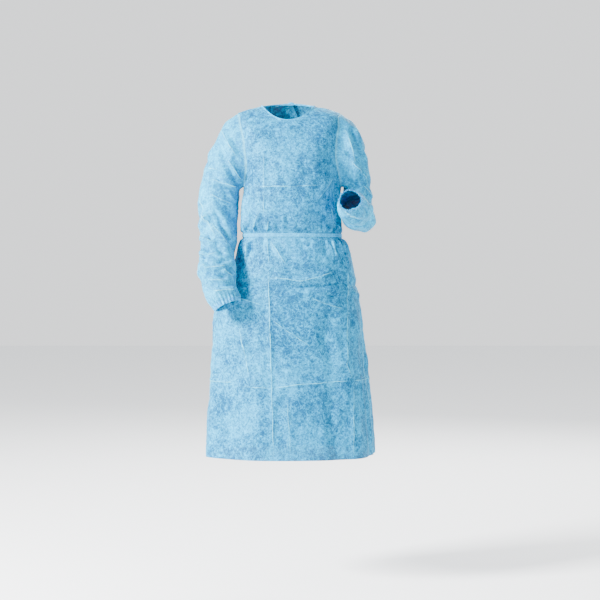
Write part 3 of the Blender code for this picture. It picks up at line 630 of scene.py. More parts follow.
@dataclass
class BodyForm:
    """Body of the gown: front and two back panels, from the hem up to the neck edge."""

    sheet: ClothSheet
    cell: float = 0.0042
    column_steps: int = 7
    lap_lift: float = 0.0026
    lap_lead: float = 8.0
    lap_rise: float = 22.0
    tie_half: float = 0.006
    gather_seed: int = 11
    pleat_step: float = 4.7
    pleat_half_width: float = 3.1
    pleat_depth: float = 0.0060
    pleat_reach: float = 0.095

    def __post_init__(self) -> None:
        """Set up the smooth tables and the fine rows and columns."""
        self.names = [section.name for section in SECTIONS]
        self.tables = {name: SmoothTable([getattr(section, name) for section in SECTIONS])
                       for name in Section._fields[1:]}
        steps = self.column_steps
        self.columns = np.arange(-BACK_COLUMN * steps, BACK_COLUMN * steps + 1) / steps
        self.keys = self.row_keys()
        self.tie_z = 0.5 * (SECTIONS[self.names.index("tie_low")].z_front
                            + SECTIONS[self.names.index("tie_high")].z_front)

    def key(self, name: str) -> int:
        """Key of the named section."""
        return self.names.index(name)

    def row(self, name: str) -> int:
        """Number of the fine row on the named section."""
        return int(np.argmin(np.abs(self.keys - self.key(name))))

    def column(self, column: float) -> int:
        """Number of the fine column."""
        return int(round((column + BACK_COLUMN) * self.column_steps))

    def row_keys(self) -> Array:
        """Keys of the fine rows up to the neck edge, about one cell apart."""
        keys = [np.array([0.0])]
        for index in range(self.key("neck")):
            here, above = SECTIONS[index], SECTIONS[index + 1]
            spans = [math.hypot(above.z_front - here.z_front, above.y_front - here.y_front),
                     math.hypot(above.z_side - here.z_side, above.x_left - here.x_left),
                     math.hypot(above.z_back - here.z_back, above.y_back - here.y_back)]
            rows = max(2, math.ceil(0.5 * (max(spans) + sum(spans) / 3) / self.cell))
            keys.append(index + np.arange(1, rows + 1) / rows)
        return np.concatenate(keys)

    def at(self, name: str, keys: Array) -> Array:
        """One named measure at these keys, as a column."""
        return self.tables[name].at(keys)[:, None]

    def lap_angle(self, keys: Array) -> Array:
        """Degrees that each back edge passes the centre back."""
        half_width = 0.5 * (self.at("x_left", keys) - self.at("x_right", keys))
        share = np.minimum(self.at("lap", keys) / half_width, 0.95)
        return np.degrees(np.arcsin(share ** (0.5 * self.at("square", keys))))

    def angles(self, keys: Array, columns: Array) -> Array:
        """Angle of each column on each row, in degrees."""
        hole, end = self.at("hole", keys), 180 + self.lap_angle(keys)
        near, far = FRONT_COLUMN - HOLE_COLUMNS, FRONT_COLUMN + HOLE_COLUMNS
        place = np.abs(columns)[None, :]
        front = place / near * (90 - hole)
        middle = 90 - hole + (place - near) / (far - near) * 2 * hole
        back = 90 + hole + (place - far) / (BACK_COLUMN - far) * (end - 90 - hole)
        return np.where(place < near, front, np.where(place < far, middle, back)) * np.sign(columns)

    def base(self, keys: Array, columns: Array) -> Array:
        """Smooth middle surface, with no folds and no lap."""
        theta = np.radians(self.angles(keys, columns))
        power = 2 / self.at("square", keys)
        across = np.sign(np.sin(theta)) * np.abs(np.sin(theta)) ** power
        along = np.abs(np.cos(theta)) ** power
        front = np.cos(theta) > 0
        right, left = self.at("x_right", keys), self.at("x_left", keys)
        depth = np.where(front, self.at("y_front", keys), self.at("y_back", keys))
        end = np.where(front, self.at("z_front", keys), self.at("z_back", keys))
        side = self.at("z_side", keys)
        x = 0.5 * (left + right) + 0.5 * (left - right) * across
        return np.stack([x, depth * along, side + (end - side) * np.cos(theta) ** 2], axis=2)

    def lift(self, keys: Array, columns: Array) -> Array:
        """Outward move of the left back panel and inward move of the right one."""
        start = 180 - self.lap_angle(keys) - self.lap_lead - self.lap_rise
        share = ease((np.abs(self.angles(keys, columns)) - start) / self.lap_rise)
        return self.lap_lift * share * np.sign(columns)

    def folds(self, angle: Array, height: Array) -> Array:
        """Large soft folds from the table."""
        total = np.zeros_like(angle)
        for fold in BODY_FOLDS:
            share = (fold.z_top - height) / (fold.z_top - fold.z_bottom)
            middle = fold.angle_top + (fold.angle_bottom - fold.angle_top) * share
            reach = ease(share * 3) * ease((1 - share) * 8)
            total += fold.depth * reach * bump((angle - middle) / fold.half_width)
        return total

    def gathers(self, angle: Array, height: Array) -> Array:
        """Uneven gathers above and below the waist tie, deepest at the sides."""
        places = np.arange(-176.0, 177.0, self.pleat_step)
        sign = np.where(np.arange(len(places)) % 2 == 0, 1.0, -1.0)
        away = np.abs(height - self.tie_z) - self.tie_half
        turned = np.abs(angle)
        zone = 0.30 + 0.70 * ease((turned - 30) / 34)
        zone = zone * (0.55 + 0.45 * ease((165 - turned) / 30))
        total = np.zeros_like(angle)
        for upper, seed in ((True, self.gather_seed), (False, self.gather_seed + 1)):
            pleats = Pleats(seed, places, self.pleat_half_width, self.pleat_depth,
                            self.pleat_reach * (0.8 if upper else 1.1))
            pleats.depths = pleats.depths * sign
            here = (height > self.tie_z) == upper
            total += np.where(here & (away > 0), pleats.move(angle, np.maximum(away, 0)), 0.0)
        return total * zone * ease(away / 0.012)

    def build(self) -> Array:
        """Add the body's points and cells to the sheet and return the grid of point numbers."""
        base = self.base(self.keys, self.columns)
        angle = self.angles(self.keys, self.columns)
        move = self.lift(self.keys, self.columns) + self.folds(angle, base[..., 2])
        move = move + self.gathers(angle, base[..., 2])
        points = base + grid_normals(base) * move[..., None]
        numbers = self.sheet.add_points(points, Region.BODY)
        centre, waist = self.column(0), self.row("tie_low")
        round_body = run_lengths(base, 1)
        up_body = run_lengths(base, 0)
        place = np.stack([round_body - round_body[:, [centre]], up_body - up_body[[waist]]], axis=2)
        hole = self.hole_cells()
        middles = self.columns[:-1] + 0.5 / self.column_steps
        for panel, chosen in (("front_panel", np.abs(middles) < FRONT_COLUMN),
                              ("back_panel_left", middles > FRONT_COLUMN),
                              ("back_panel_right", middles < -FRONT_COLUMN)):
            self.sheet.add_cells(numbers, place, ~hole & chosen[None, :], panel)
        return numbers

    def hole_cells(self) -> Array:
        """Cells that lie inside an armhole."""
        row_middles = 0.5 * (self.keys[:-1] + self.keys[1:])
        column_middles = np.abs(self.columns[:-1] + 0.5 / self.column_steps)
        rows = (row_middles > self.key("armpit")) & (row_middles < self.key("shoulder"))
        columns = np.abs(column_middles - FRONT_COLUMN) < HOLE_COLUMNS
        return rows[:, None] & columns[None, :]

    def armhole(self, numbers: Array, side: Side) -> tuple[Array, Array]:
        """Points round an armhole: shoulder, back edge, underarm, front edge.

        Args:
            numbers: the body's grid of point numbers.
            side: which armhole.

        Returns:
            The point numbers, and the share of the way round at each, from 0 to 1.
        """
        bottom, top = self.row("armpit"), self.row("shoulder")
        near, middle, far = FRONT_COLUMN - HOLE_COLUMNS, FRONT_COLUMN, FRONT_COLUMN + HOLE_COLUMNS
        low, high = self.key("armpit"), self.key("shoulder")
        height = LOOP_ROWS * (high - low)
        step = 1 / self.column_steps
        found, shares = [], []

        def walk(row: int, column: float, share: float) -> None:
            """Note one point of the loop."""
            found.append(numbers[row, self.column(side.value * column)])
            shares.append(share / LOOP_TOTAL)

        for column in np.arange(middle, far - step / 2, step):
            walk(top, column, column - middle)
        for row in range(top, bottom, -1):
            walk(row, far, HOLE_COLUMNS + LOOP_ROWS * (high - self.keys[row]))
        for column in np.arange(far, near + step / 2, -step):
            walk(bottom, column, HOLE_COLUMNS + height + far - column)
        for row in range(bottom, top):
            walk(row, near, 3 * HOLE_COLUMNS + height + LOOP_ROWS * (self.keys[row] - low))
        for column in np.arange(near, middle - step / 2, step):
            walk(top, column, 3 * HOLE_COLUMNS + 2 * height + column - near)
        return np.array(found), np.array(shares)


@dataclass
class SleeveForm:
    """One long sleeve, set into its armhole and gathered into its cuff."""

    sheet: ClothSheet
    side: Side
    region: Region
    rings: tuple[Ring, ...]
    fold_table: tuple[SleeveFold, ...]
    cell: float = 0.0036
    gather_count: int = 26
    gather_depth: float = 0.0024
    gather_reach: float = 0.060
    hold_reach: float = 0.084
    seed: int = 5

    @property
    def name(self) -> str:
        """Wearer's side in small letters."""
        return self.side.name.lower()

    def folds(self, along: float, angle: Array) -> Array:
        """Large folds from the table at one place along the sleeve."""
        total = np.zeros_like(angle)
        for fold in self.fold_table:
            for turn in (0.0, 360.0):
                share = (angle + turn - fold.angle_from) / (fold.angle_to - fold.angle_from)
                middle = fold.along + fold.slope * (share - 0.5)
                reach = ease(share * 3) * ease((1 - share) * 3)
                total += fold.depth * reach * bump((along - middle) / fold.half_width)
        return total

    def build(self, loop: Array, shares: Array) -> None:
        """Add the sleeve's rings from the armhole down to the cuff's end."""
        loop_points = np.concatenate(self.sheet.points)[loop]
        under = int(np.argmin(np.abs(shares - 0.5)))
        depth = 0.5 * np.ptp(loop_points[:, 1])
        outer = SmoothTable(np.vstack([loop_points[0], [ring.outer for ring in self.rings]]))
        inner = SmoothTable(np.vstack([loop_points[under], [ring.inner for ring in self.rings]]))
        depths = SmoothTable([depth] + [ring.depth for ring in self.rings])
        middles = SmoothTable(0.5 * (outer.values + inner.values))
        keys = self.row_keys(outer.values, inner.values)
        last, elastic = len(self.rings), len(self.rings) - 1
        turn = 2 * np.pi * shares
        offsets = loop_points - middles.values[0]
        pleats = Pleats(self.seed, np.arange(self.gather_count) * 360 / self.gather_count,
                        180 / self.gather_count, self.gather_depth, self.gather_reach)
        to_cuff = self.to_cuff(keys, middles)
        rows = [loop_points]
        for key, away in zip(keys[1:], to_cuff[1:]):
            half = 0.5 * (outer.at(key) - inner.at(key))
            ahead = middles.at(min(key + TANGENT_STEP, last)) - middles.at(max(key - TANGENT_STEP, 0.0))
            back = unit(self.side.value * np.cross(half, unit(ahead)))
            share = float(ease(key / BLEND_KEYS))
            offset = np.cos(turn)[:, None] * half + np.sin(turn)[:, None] * back * depths.at(key)
            offset = (1 - share) * offsets + share * offset
            folds = share * self.folds(key / last, np.degrees(turn))
            gathers = 2 * pleats.move(np.degrees(turn), np.array(abs(away)), 360.0) - self.gather_depth
            hold = 1 - ease(np.array(max(away, 0.0) / self.hold_reach))
            move = (folds + gathers) * hold + folds * (1 - hold)
            rows.append(middles.at(key) + offset + unit(offset) * move[:, None])
        grid = np.array(rows)
        self.add(grid, loop, under, int(np.argmin(np.abs(keys - elastic))))

    def to_cuff(self, keys: Array, middles: SmoothTable) -> Array:
        """Distance along the sleeve from each row to the elastic, negative past it."""
        steps = np.linalg.norm(np.diff(middles.at(keys), axis=0), axis=1)
        along = np.concatenate([[0.0], np.cumsum(steps)])
        return along[int(np.argmin(np.abs(keys - (len(self.rings) - 1))))] - along

    def row_keys(self, outer: Array, inner: Array) -> Array:
        """Keys of the sleeve's rows, about one cell apart on its longer side."""
        keys = [np.array([0.0])]
        for index in range(len(self.rings)):
            spans = [np.linalg.norm(line[index + 1] - line[index]) for line in (outer, inner)]
            rows = max(2, math.ceil((0.65 * max(spans) + 0.35 * min(spans)) / self.cell))
            keys.append(index + np.arange(1, rows + 1) / rows)
        return np.concatenate(keys)

    def add(self, grid: Array, loop: Array, under: int, elastic: int) -> None:
        """Add the rings' cells; the pattern parts at the underarm seam and the cuff is its own panel."""
        numbers = self.sheet.add_points(grid[1:], self.region)
        numbers = np.vstack([loop, numbers])
        closed = np.hstack([numbers, numbers[:, :1]])
        ring = np.concatenate([grid, grid[:, :1]], axis=1)
        around, down = run_lengths(ring, 1), run_lengths(ring, 0)
        back = np.stack([around, -down], axis=2)
        front = np.stack([around - around[:, -1:], -down], axis=2)
        columns = np.arange(ring.shape[1] - 1)
        rows = np.arange(ring.shape[0] - 1)
        for panel, chosen in (("sleeve_", rows < elastic), ("cuff_", rows >= elastic)):
            for place, half in ((back, columns < under), (front, columns >= under)):
                keep = chosen[:, None] & half[None, :]
                self.sheet.add_cells(closed, place, keep, panel + self.name, self.side is Side.LEFT)
        self.seam = numbers[:elastic + 1, under]
        self.grid = numbers


@dataclass
class Creasing:
    """Creases and small puckers pressed into the finished middle surface."""

    sheet: ClothSheet
    crumple_seed: int = 23
    line_reach: float = 0.009
    sharp_width: float = 0.0065
    # Soft wrinkles get this weaker share of the painted lines: pale painted highlight on ridges, dark painted
    # shade in valleys.
    soft_tone: float = 0.72
    full_depth: float = 0.0026
    sway: float = 0.0007
    seam_mark_reach: float = 0.020
    seam_reach: float = 0.014
    pucker_depth: float = 0.0009
    pucker_length: float = 0.017
    seam_sink: float = 0.0006
    wave_lengths: tuple[float, ...] = (0.19, 0.16, 0.13, 0.105, 0.084, 0.068, 0.055, 0.045, 0.037, 0.030)
    wave_sharpness: float = 0.985
    wave_fall: float = 0.65
    tie_clear: float = 0.008
    tie_fade: float = 0.02
    reach: float = 5.0

    def along(self, flat: Array, line: Line) -> tuple[Array, Array]:
        """Distance from a drawn line, below 0 on its right, and the share of the way along it."""
        corners = np.array(line)
        lengths = np.linalg.norm(np.diff(corners, axis=0), axis=1)
        best, share, turn = np.full(len(flat), 1e9), np.zeros(len(flat)), np.ones(len(flat))
        done = 0.0
        for start, end, length in zip(corners[:-1], corners[1:], lengths):
            t = np.clip(((flat - start) @ (end - start)) / length ** 2, 0, 1)
            gap = np.linalg.norm(flat - start - t[:, None] * (end - start), axis=1)
            closer = gap < best
            best = np.where(closer, gap, best)
            ahead, off = end - start, flat - start
            turn = np.where(closer, np.where(ahead[0] * off[:, 1] > ahead[1] * off[:, 0], 1.0, -1.0), turn)
            share = np.where(closer, (done + t * length) / lengths.sum(), share)
            done += length
        return best * turn, share

    def draw(self, crease: Crease, chosen: Array, gap: Array, strength: Array) -> None:
        """Note how far the chosen points lie from a crease and how strongly it shows there, for the shader's
        pale ridge line (whitened fold and painted highlight) and dark valley line (painted shade).
        """
        first, last = crease.line[0], crease.line[-1]
        mark = self.sheet.marks["upright" if abs(last[1] - first[1]) > abs(last[0] - first[0]) else "level"]
        strength = strength * (1 - ease((np.abs(gap) / self.line_reach - 0.55) / 0.45))
        plain = min(1.0, abs(crease.depth) / self.full_depth)
        strength = strength * (plain if crease.width < self.sharp_width else self.soft_tone)
        closer = strength > np.abs(mark[chosen, 1])
        mark[chosen[closer], 0] = gap[closer]
        mark[chosen[closer], 1] = strength[closer] * math.copysign(1.0, crease.depth)

    def press(self, creases: tuple[Crease, ...]) -> None:
        """Press the table's creases in, each only where the cloth faces its side."""
        normals = self.sheet.normals()
        move = np.zeros(len(self.sheet.points))
        for index, crease in enumerate(creases):
            first, second, way = crease.facing.value
            mine = np.flatnonzero(self.sheet.regions == crease.region.value)
            flat = self.sheet.points[mine][:, [first, second]]
            low, high = np.min(crease.line, axis=0), np.max(crease.line, axis=0)
            margin = self.reach * crease.width
            near = np.all((flat > low - margin) & (flat < high + margin), axis=1)
            mine, flat = mine[near], flat[near]
            other = flat[:, ::-1]
            flat = flat + self.sway * (np.sin(other * 61 + index) + 0.5 * np.sin(other * 197 + index))
            gap, share = self.along(flat, crease.line)
            taper = ease(share * 5 + 0.15) * ease((1 - share) * 5 + 0.15)
            taper = taper * (0.82 + 0.18 * np.sin(share * 9 + 1.7 * index))
            facing = ease((normals[mine] @ np.array(way) - 0.05) / 0.35)
            ratio = np.abs(gap) / crease.width
            shape = np.exp(-ratio ** 2) - 0.32 * np.exp(-((ratio - 1.9) / 0.8) ** 2)
            move[mine] += crease.depth * shape * taper * facing
            self.draw(crease, mine, gap, taper * facing)
        self.sheet.points = self.sheet.points + normals * move[:, None]

    def pucker(self, line: Array) -> None:
        """Small puckers on both sides of a seam, given by its points in order."""
        near = self.sheet.distance_to(line)
        chosen = np.flatnonzero(near < self.seam_reach)
        steps = np.linalg.norm(np.diff(line, axis=0), axis=1)
        length = np.concatenate([[0.0], np.cumsum(steps)])
        gaps = ((self.sheet.points[chosen][:, None] - line[None]) ** 2).sum(axis=2)
        along = length[np.argmin(gaps, axis=1)]
        normals = self.sheet.normals()[chosen]
        phase = 2 * np.pi * along / self.pucker_length
        wave = np.sin(phase + 1.3 * np.sin(phase * 0.37)) * (0.6 + 0.4 * np.sin(phase * 0.23))
        share = near[chosen] / self.seam_reach
        move = self.pucker_depth * wave * np.sin(np.pi * np.clip(share, 0, 1))
        move = move - self.seam_sink * np.exp(-(share * 4) ** 2)
        self.sheet.points[chosen] += normals * move[:, None]
        closeness = np.clip(1 - near / self.seam_mark_reach, 0, 1)
        self.sheet.marks["seam"] = np.maximum(self.sheet.marks["seam"], closeness)

    def crumple(self, strength: float) -> None:
        """Very soft unevenness all over, from a few slanted waves with a fixed seed."""
        rng = np.random.default_rng(self.crumple_seed)
        normals = self.sheet.normals()
        total = np.zeros(len(self.sheet.points))
        for length in self.wave_lengths:
            way = unit(rng.normal(size=3))
            other = unit(rng.normal(size=3))
            phase = self.sheet.points @ way * 2 * np.pi / length + rng.uniform(0, 6.28)
            bend = np.sin(self.sheet.points @ other * 2 * np.pi / (1.7 * length))
            wave = np.sin(phase + 1.4 * bend)
            sharp = ARCSINE_SCALE * np.arcsin(self.wave_sharpness * wave)
            patch = 0.6 + 0.4 * np.sin(self.sheet.points @ (other + way) * 2 * np.pi / (2.9 * length))
            total += sharp * patch * (length / self.wave_lengths[0]) ** self.wave_fall
        tie = ease((np.abs(self.sheet.points[:, 2] - TIE_HEIGHT) - self.tie_clear) / self.tie_fade)
        body = self.sheet.regions == Region.BODY.value
        total *= np.where(body, tie, 1.0)
        self.sheet.points = self.sheet.points + normals * (strength * total)[:, None]


def new_piece(name: str, vertices: Array, faces: list, uvs: Array | None, material: bpy.types.Material,
              sharp: float = 55.0, marks: dict[str, Array] | None = None) -> bpy.types.Object:
    """Make a mesh piece that rides on the gown.

    Args:
        name: the piece's name.
        vertices: its points.
        faces: its faces, outward.
        uvs: pattern place of each face corner, or None.
        material: its finish.
        sharp: edges bent by more than this many degrees stay sharp.
        marks: each point's distance and strength of creases, and its closeness to a seam, or None.

    Returns:
        The new object.
    """
    mesh = bpy.data.meshes.new(name)
    mesh.from_pydata(np.asarray(vertices).tolist(), [], faces)
    mesh.update()
    if uvs is not None:
        layer = mesh.uv_layers.new(name="cloth")
        layer.data.foreach_set("uv", np.asarray(uvs, dtype=np.float32).ravel())
    for mark, values in (marks or {}).items():
        kind, field_name = ("FLOAT", "value") if values.ndim == 1 else ("FLOAT_VECTOR", "vector")
        attribute = mesh.attributes.new(mark, kind, "POINT")
        attribute.data.foreach_set(field_name, values.astype(np.float32).ravel())
    mesh.shade_smooth()
    mesh.set_sharp_from_angle(angle=math.radians(sharp))
    mesh.materials.append(material)
    piece = bpy.data.objects.new(name, mesh)
    bpy.context.scene.collection.objects.link(piece)
    return piece


def seat(piece: bpy.types.Object, node: str | None) -> None:
    """Let a piece ride on the gown and stand for its node."""
    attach(piece, "root")
    if node:
        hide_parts(node)
    LOG.info("%s: %d faces", piece.name, len(piece.data.polygons))


@dataclass
class Panel:
    """One cloth panel: a thin closed wall round its share of the middle surface."""

    node: str
    name: str
    flat: tuple[float, float]
    area: float
    held: str
    slot: str = "nonwoven_cloth"
    wall: float = 0.0006
    seam_gap: float = 0.00022

    def wall_mesh(self, sheet: ClothSheet, normals: Array) -> tuple[Array, list, Array, dict[str, Array]]:
        """Points, faces, pattern places and marks of the panel's closed wall."""
        chosen = sheet.panels == self.node
        quads, places = sheet.quads[chosen], sheet.places[chosen]
        used, local = np.unique(quads, return_inverse=True)
        local = local.reshape(quads.shape)
        points, out = sheet.points[used], normals[used]
        sides = np.concatenate([local[:, [i, (i + 1) % 4]] for i in range(4)])
        side_places = np.concatenate([places[:, [i, (i + 1) % 4]] for i in range(4)])
        code = sides[:, 0] * len(used) + sides[:, 1]
        back = sides[:, 1] * len(used) + sides[:, 0]
        rim = ~np.isin(code, back)
        rim_sides, rim_places = sides[rim], side_places[rim]
        middles = points[local].mean(axis=1)
        towards = np.zeros_like(points)
        for i in range(4):
            np.add.at(towards, local[:, i], unit(middles - points[local[:, i]]))
        on_rim = np.zeros(len(used), bool)
        on_rim[rim_sides.ravel()] = True
        towards -= (towards * out).sum(axis=1, keepdims=True) * out
        points = points + np.where(on_rim[:, None], unit(towards) * self.seam_gap, 0.0)
        half = 0.5 * self.wall
        vertices = np.vstack([points + out * half, points - out * half])
        count = len(used)
        start, stop = rim_sides[:, 0], rim_sides[:, 1]
        rims = np.stack([stop, start, count + start, count + stop], axis=1)
        rim_uv = np.stack([rim_places[:, 1], rim_places[:, 0], rim_places[:, 0], rim_places[:, 1]], axis=1)
        faces = np.vstack([local, count + local[:, ::-1], rims])
        uvs = np.vstack([places, places[:, ::-1], rim_uv])
        marks = {name: np.concatenate([values[used], values[used]]) for name, values in sheet.marks.items()}
        return vertices, faces.tolist(), uvs, marks

    def build(self, sheet: ClothSheet, normals: Array, material: bpy.types.Material) -> bpy.types.Object:
        """Build and dress the panel."""
        vertices, faces, uvs, marks = self.wall_mesh(sheet, normals)
        piece = new_piece(self.name, vertices, faces, uvs, material, marks=marks)
        seat(piece, self.node)
        return piece


@dataclass
class Strip:
    """Folded strip of cloth that follows a line, with rounded edges."""

    name: str
    node: str
    thickness: float
    flat: tuple[float, float]
    held: str = "laid"
    closed: bool = False
    slot: str = "binding_and_ties"
    profile: tuple[tuple[float, float], ...] = (
        (-1.0, 0.0), (-0.96, 0.72), (-0.84, 1.0), (-0.62, 0.86), (0.0, 0.80), (0.62, 0.86), (0.84, 1.0),
        (0.96, 0.72), (1.0, 0.0), (0.96, -0.72), (0.84, -1.0), (0.0, -0.95), (-0.84, -1.0), (-0.96, -0.72))

    def build(self, low: Array, high: Array, out: Array, material: bpy.types.Material) -> bpy.types.Object:
        """Build the strip between two edge lines.

        Args:
            low: points of its lower edge.
            high: points of its upper edge.
            out: outward normals along it.
            material: its finish.

        Returns:
            The new piece.
        """
        middle, across = 0.5 * (low + high), 0.5 * (high - low)
        profile = np.array(self.profile)
        rings = (middle[:, None] + across[:, None] * profile[None, :, :1]
                 + out[:, None] * 0.5 * self.thickness * profile[None, :, 1:])
        steps, around = rings.shape[:2]
        numbers = np.arange(steps * around).reshape(steps, around)
        lengths = np.concatenate([[0.0], np.cumsum(np.linalg.norm(np.diff(middle, axis=0), axis=1))])
        width = np.concatenate([[0.0], np.cumsum(np.linalg.norm(np.diff(rings[0], axis=0), axis=1))])
        faces, uvs = [], []
        for step in range(steps if self.closed else steps - 1):
            ahead = (step + 1) % steps
            for place in range(around):
                following = (place + 1) % around
                faces.append([int(numbers[step, place]), int(numbers[ahead, place]),
                              int(numbers[ahead, following]), int(numbers[step, following])])
                far = lengths[ahead] if ahead else lengths[-1] + 0.003
                wide = width[following] if following else width[-1] + 0.0005
                near = lengths[step]
                uvs += [(near, width[place]), (far, width[place]), (far, wide), (near, wide)]
        if not self.closed:
            faces.append(numbers[0].tolist())
            faces.append(numbers[-1][::-1].tolist())
            uvs += [(0.0, value) for value in width] + [(lengths[-1], value) for value in width[::-1]]
        piece = new_piece(self.name, rings.reshape(-1, 3), faces, np.array(uvs), material, 70.0)
        seat(piece, self.node)
        return piece


@dataclass(frozen=True)
class Stitch:
    """Size of one thread stitch and how far apart the stitches lie."""

    pitch: float = 0.0042
    length: float = 0.0029
    width: float = 0.00055


class Tree:
    """Small helper that adds nodes to a node tree and links them."""

    def __init__(self, tree: bpy.types.NodeTree) -> None:
        """Work on this tree."""
        self.tree = tree

    def fill(self, node: bpy.types.Node, inputs: dict) -> None:
        """Set a node's inputs by name or number, or link them where the value is a socket."""
        for name, value in inputs.items():
            if isinstance(value, bpy.types.NodeSocket):
                self.tree.links.new(value, node.inputs[name])
            else:
                node.inputs[name].default_value = value

    def node(self, kind: str, inputs: dict | None = None, **settings: object) -> bpy.types.Node:
        """Add a node of this kind, set its own options, and fill its inputs."""
        node = self.tree.nodes.new(kind)
        for name, value in settings.items():
            setattr(node, name, value)
        self.fill(node, inputs or {})
        return node

    def math(self, operation: str, first: object, second: object = 0.0) -> bpy.types.NodeSocket:
        """Result of one math operation."""
        return self.node("ShaderNodeMath", {0: first, 1: second}, operation=operation).outputs[0]

    def vector(self, operation: str, first: object, second: object) -> bpy.types.NodeSocket:
        """Result of one vector operation."""
        return self.node("ShaderNodeVectorMath", {0: first, 1: second}, operation=operation).outputs[0]

    def turned(self, place: bpy.types.NodeSocket, angle: float) -> bpy.types.NodeSocket:
        """Coordinates turned about their third axis."""
        inputs = {"Vector": place, "Angle": angle}
        return self.node("ShaderNodeVectorRotate", inputs, rotation_type="Z_AXIS").outputs[0]

    def noise(self, place: bpy.types.NodeSocket, scale: object, detail: float, roughness: float = 0.5,
              distortion: float = 0.0) -> bpy.types.NodeSocket:
        """Soft noise between 0 and 1."""
        inputs = {"Vector": place, "Scale": scale, "Detail": detail, "Roughness": roughness,
                  "Distortion": distortion}
        return self.node("ShaderNodeTexNoise", inputs).outputs["Fac"]

    def range(self, value: object, low: float, high: float, to_low: float = 0.0,
              to_high: float = 1.0) -> bpy.types.NodeSocket:
        """Value mapped softly from one range to another."""
        inputs = {"Value": value, "From Min": low, "From Max": high, "To Min": to_low, "To Max": to_high}
        return self.node("ShaderNodeMapRange", inputs, interpolation_type="SMOOTHSTEP").outputs["Result"]

    def mix(self, share: object, first: object, second: object) -> bpy.types.NodeSocket:
        """Mix of two colours."""
        return self.node("ShaderNodeMix", {0: share, 6: first, 7: second}, data_type="RGBA").outputs[2]

    def bump(self, height: object, distance: float, strength: float,
             under: object = None) -> bpy.types.NodeSocket:
        """Normal of a height, laid over another normal where one is given."""
        inputs = {"Height": height, "Distance": distance, "Strength": strength}
        if under is not None:
            inputs["Normal"] = under
        return self.node("ShaderNodeBump", inputs).outputs["Normal"]


def float_input(tree: bpy.types.NodeTree, name: str, value: float) -> None:
    """Add a named number input to a node group."""
    socket = tree.interface.new_socket(name, in_out="INPUT", socket_type="NodeSocketFloat")
    socket.default_value = value


def stitch_tree(thread: bpy.types.Material) -> bpy.types.NodeTree:
    """Node tree that lays a stitch along a curve at each pitch."""
    tree = bpy.data.node_groups.new("stitch_run", "GeometryNodeTree")
    tree.interface.new_socket("Geometry", in_out="INPUT", socket_type="NodeSocketGeometry")
    for name, value in (("Pitch", 0.004), ("Length", 0.003), ("Width", 0.0005)):
        float_input(tree, name, value)
    tree.interface.new_socket("Geometry", in_out="OUTPUT", socket_type="NodeSocketGeometry")
    add = Tree(tree)
    given = add.node("NodeGroupInput").outputs
    points = add.node("GeometryNodeCurveToPoints", {"Curve": given["Geometry"], "Length": given["Pitch"]},
                      mode="LENGTH").outputs
    ball = add.node("GeometryNodeMeshUVSphere", {"Segments": 6, "Rings": 4, "Radius": 0.5})
    size = add.node("ShaderNodeCombineXYZ", {"X": given["Width"], "Y": given["Width"], "Z": given["Length"]})
    laid = add.node("GeometryNodeInstanceOnPoints", {
        "Points": points["Points"], "Instance": ball.outputs["Mesh"], "Rotation": points["Rotation"],
        "Scale": size.outputs["Vector"]})
    real = add.node("GeometryNodeRealizeInstances", {"Geometry": laid.outputs["Instances"]})
    dressed = add.node("GeometryNodeSetMaterial", {"Geometry": real.outputs["Geometry"], "Material": thread})
    add.node("NodeGroupOutput", {"Geometry": dressed.outputs["Geometry"]})
    return tree


@dataclass
class Stitching:
    """Rows of thread stitches that follow the seams."""

    name: str
    stitch: Stitch
    runs: list = field(default_factory=list)

    def add(self, points: Array, normals: Array, lift: float, closed: bool = False) -> None:
        """Add one row of stitches along these points, lifted off the cloth."""
        self.runs.append((points + normals * lift, closed))

    def build(self, tree: bpy.types.NodeTree, material: bpy.types.Material) -> bpy.types.Object:
        """Lay the stitches with the node tree and keep them as a plain mesh."""
        curve = bpy.data.curves.new(self.name + "_path", "CURVE")
        curve.dimensions = "3D"
        for points, closed in self.runs:
            spline = curve.splines.new("POLY")
            spline.points.add(len(points) - 1)
            spline.points.foreach_set("co", np.hstack([points, np.ones((len(points), 1))]).ravel())
            spline.use_cyclic_u = closed
        path = bpy.data.objects.new(self.name + "_path", curve)
        bpy.context.scene.collection.objects.link(path)
        modifier = path.modifiers.new("stitches", "NODES")
        modifier.node_group = tree
        sizes = {"Pitch": self.stitch.pitch, "Length": self.stitch.length, "Width": self.stitch.width}
        for item in tree.interface.items_tree:
            if item.item_type == "SOCKET" and item.in_out == "INPUT" and item.name in sizes:
                modifier[item.identifier] = sizes[item.name]
        bpy.context.view_layer.update()
        evaluated = path.evaluated_get(bpy.context.evaluated_depsgraph_get())
        mesh = bpy.data.meshes.new_from_object(evaluated)
        mesh.name = self.name
        if not mesh.materials:
            mesh.materials.append(material)
        mesh.shade_smooth()
        piece = bpy.data.objects.new(self.name, mesh)
        bpy.context.scene.collection.objects.link(piece)
        bpy.data.objects.remove(path, do_unlink=True)
        bpy.data.curves.remove(curve)
        seat(piece, None)
        return piece


def shader_group(name: str, vectors: tuple[str, ...], numbers: dict[str, float],
                 results: tuple[str, ...]) -> bpy.types.NodeTree:
    """New shader group with these vector inputs, number inputs and number outputs."""
    group = bpy.data.node_groups.new(name, "ShaderNodeTree")
    for vector in vectors:
        group.interface.new_socket(vector, in_out="INPUT", socket_type="NodeSocketVector")
    for number, value in numbers.items():
        float_input(group, number, value)
    for result in results:
        group.interface.new_socket(result, in_out="OUTPUT", socket_type="NodeSocketFloat")
    return group


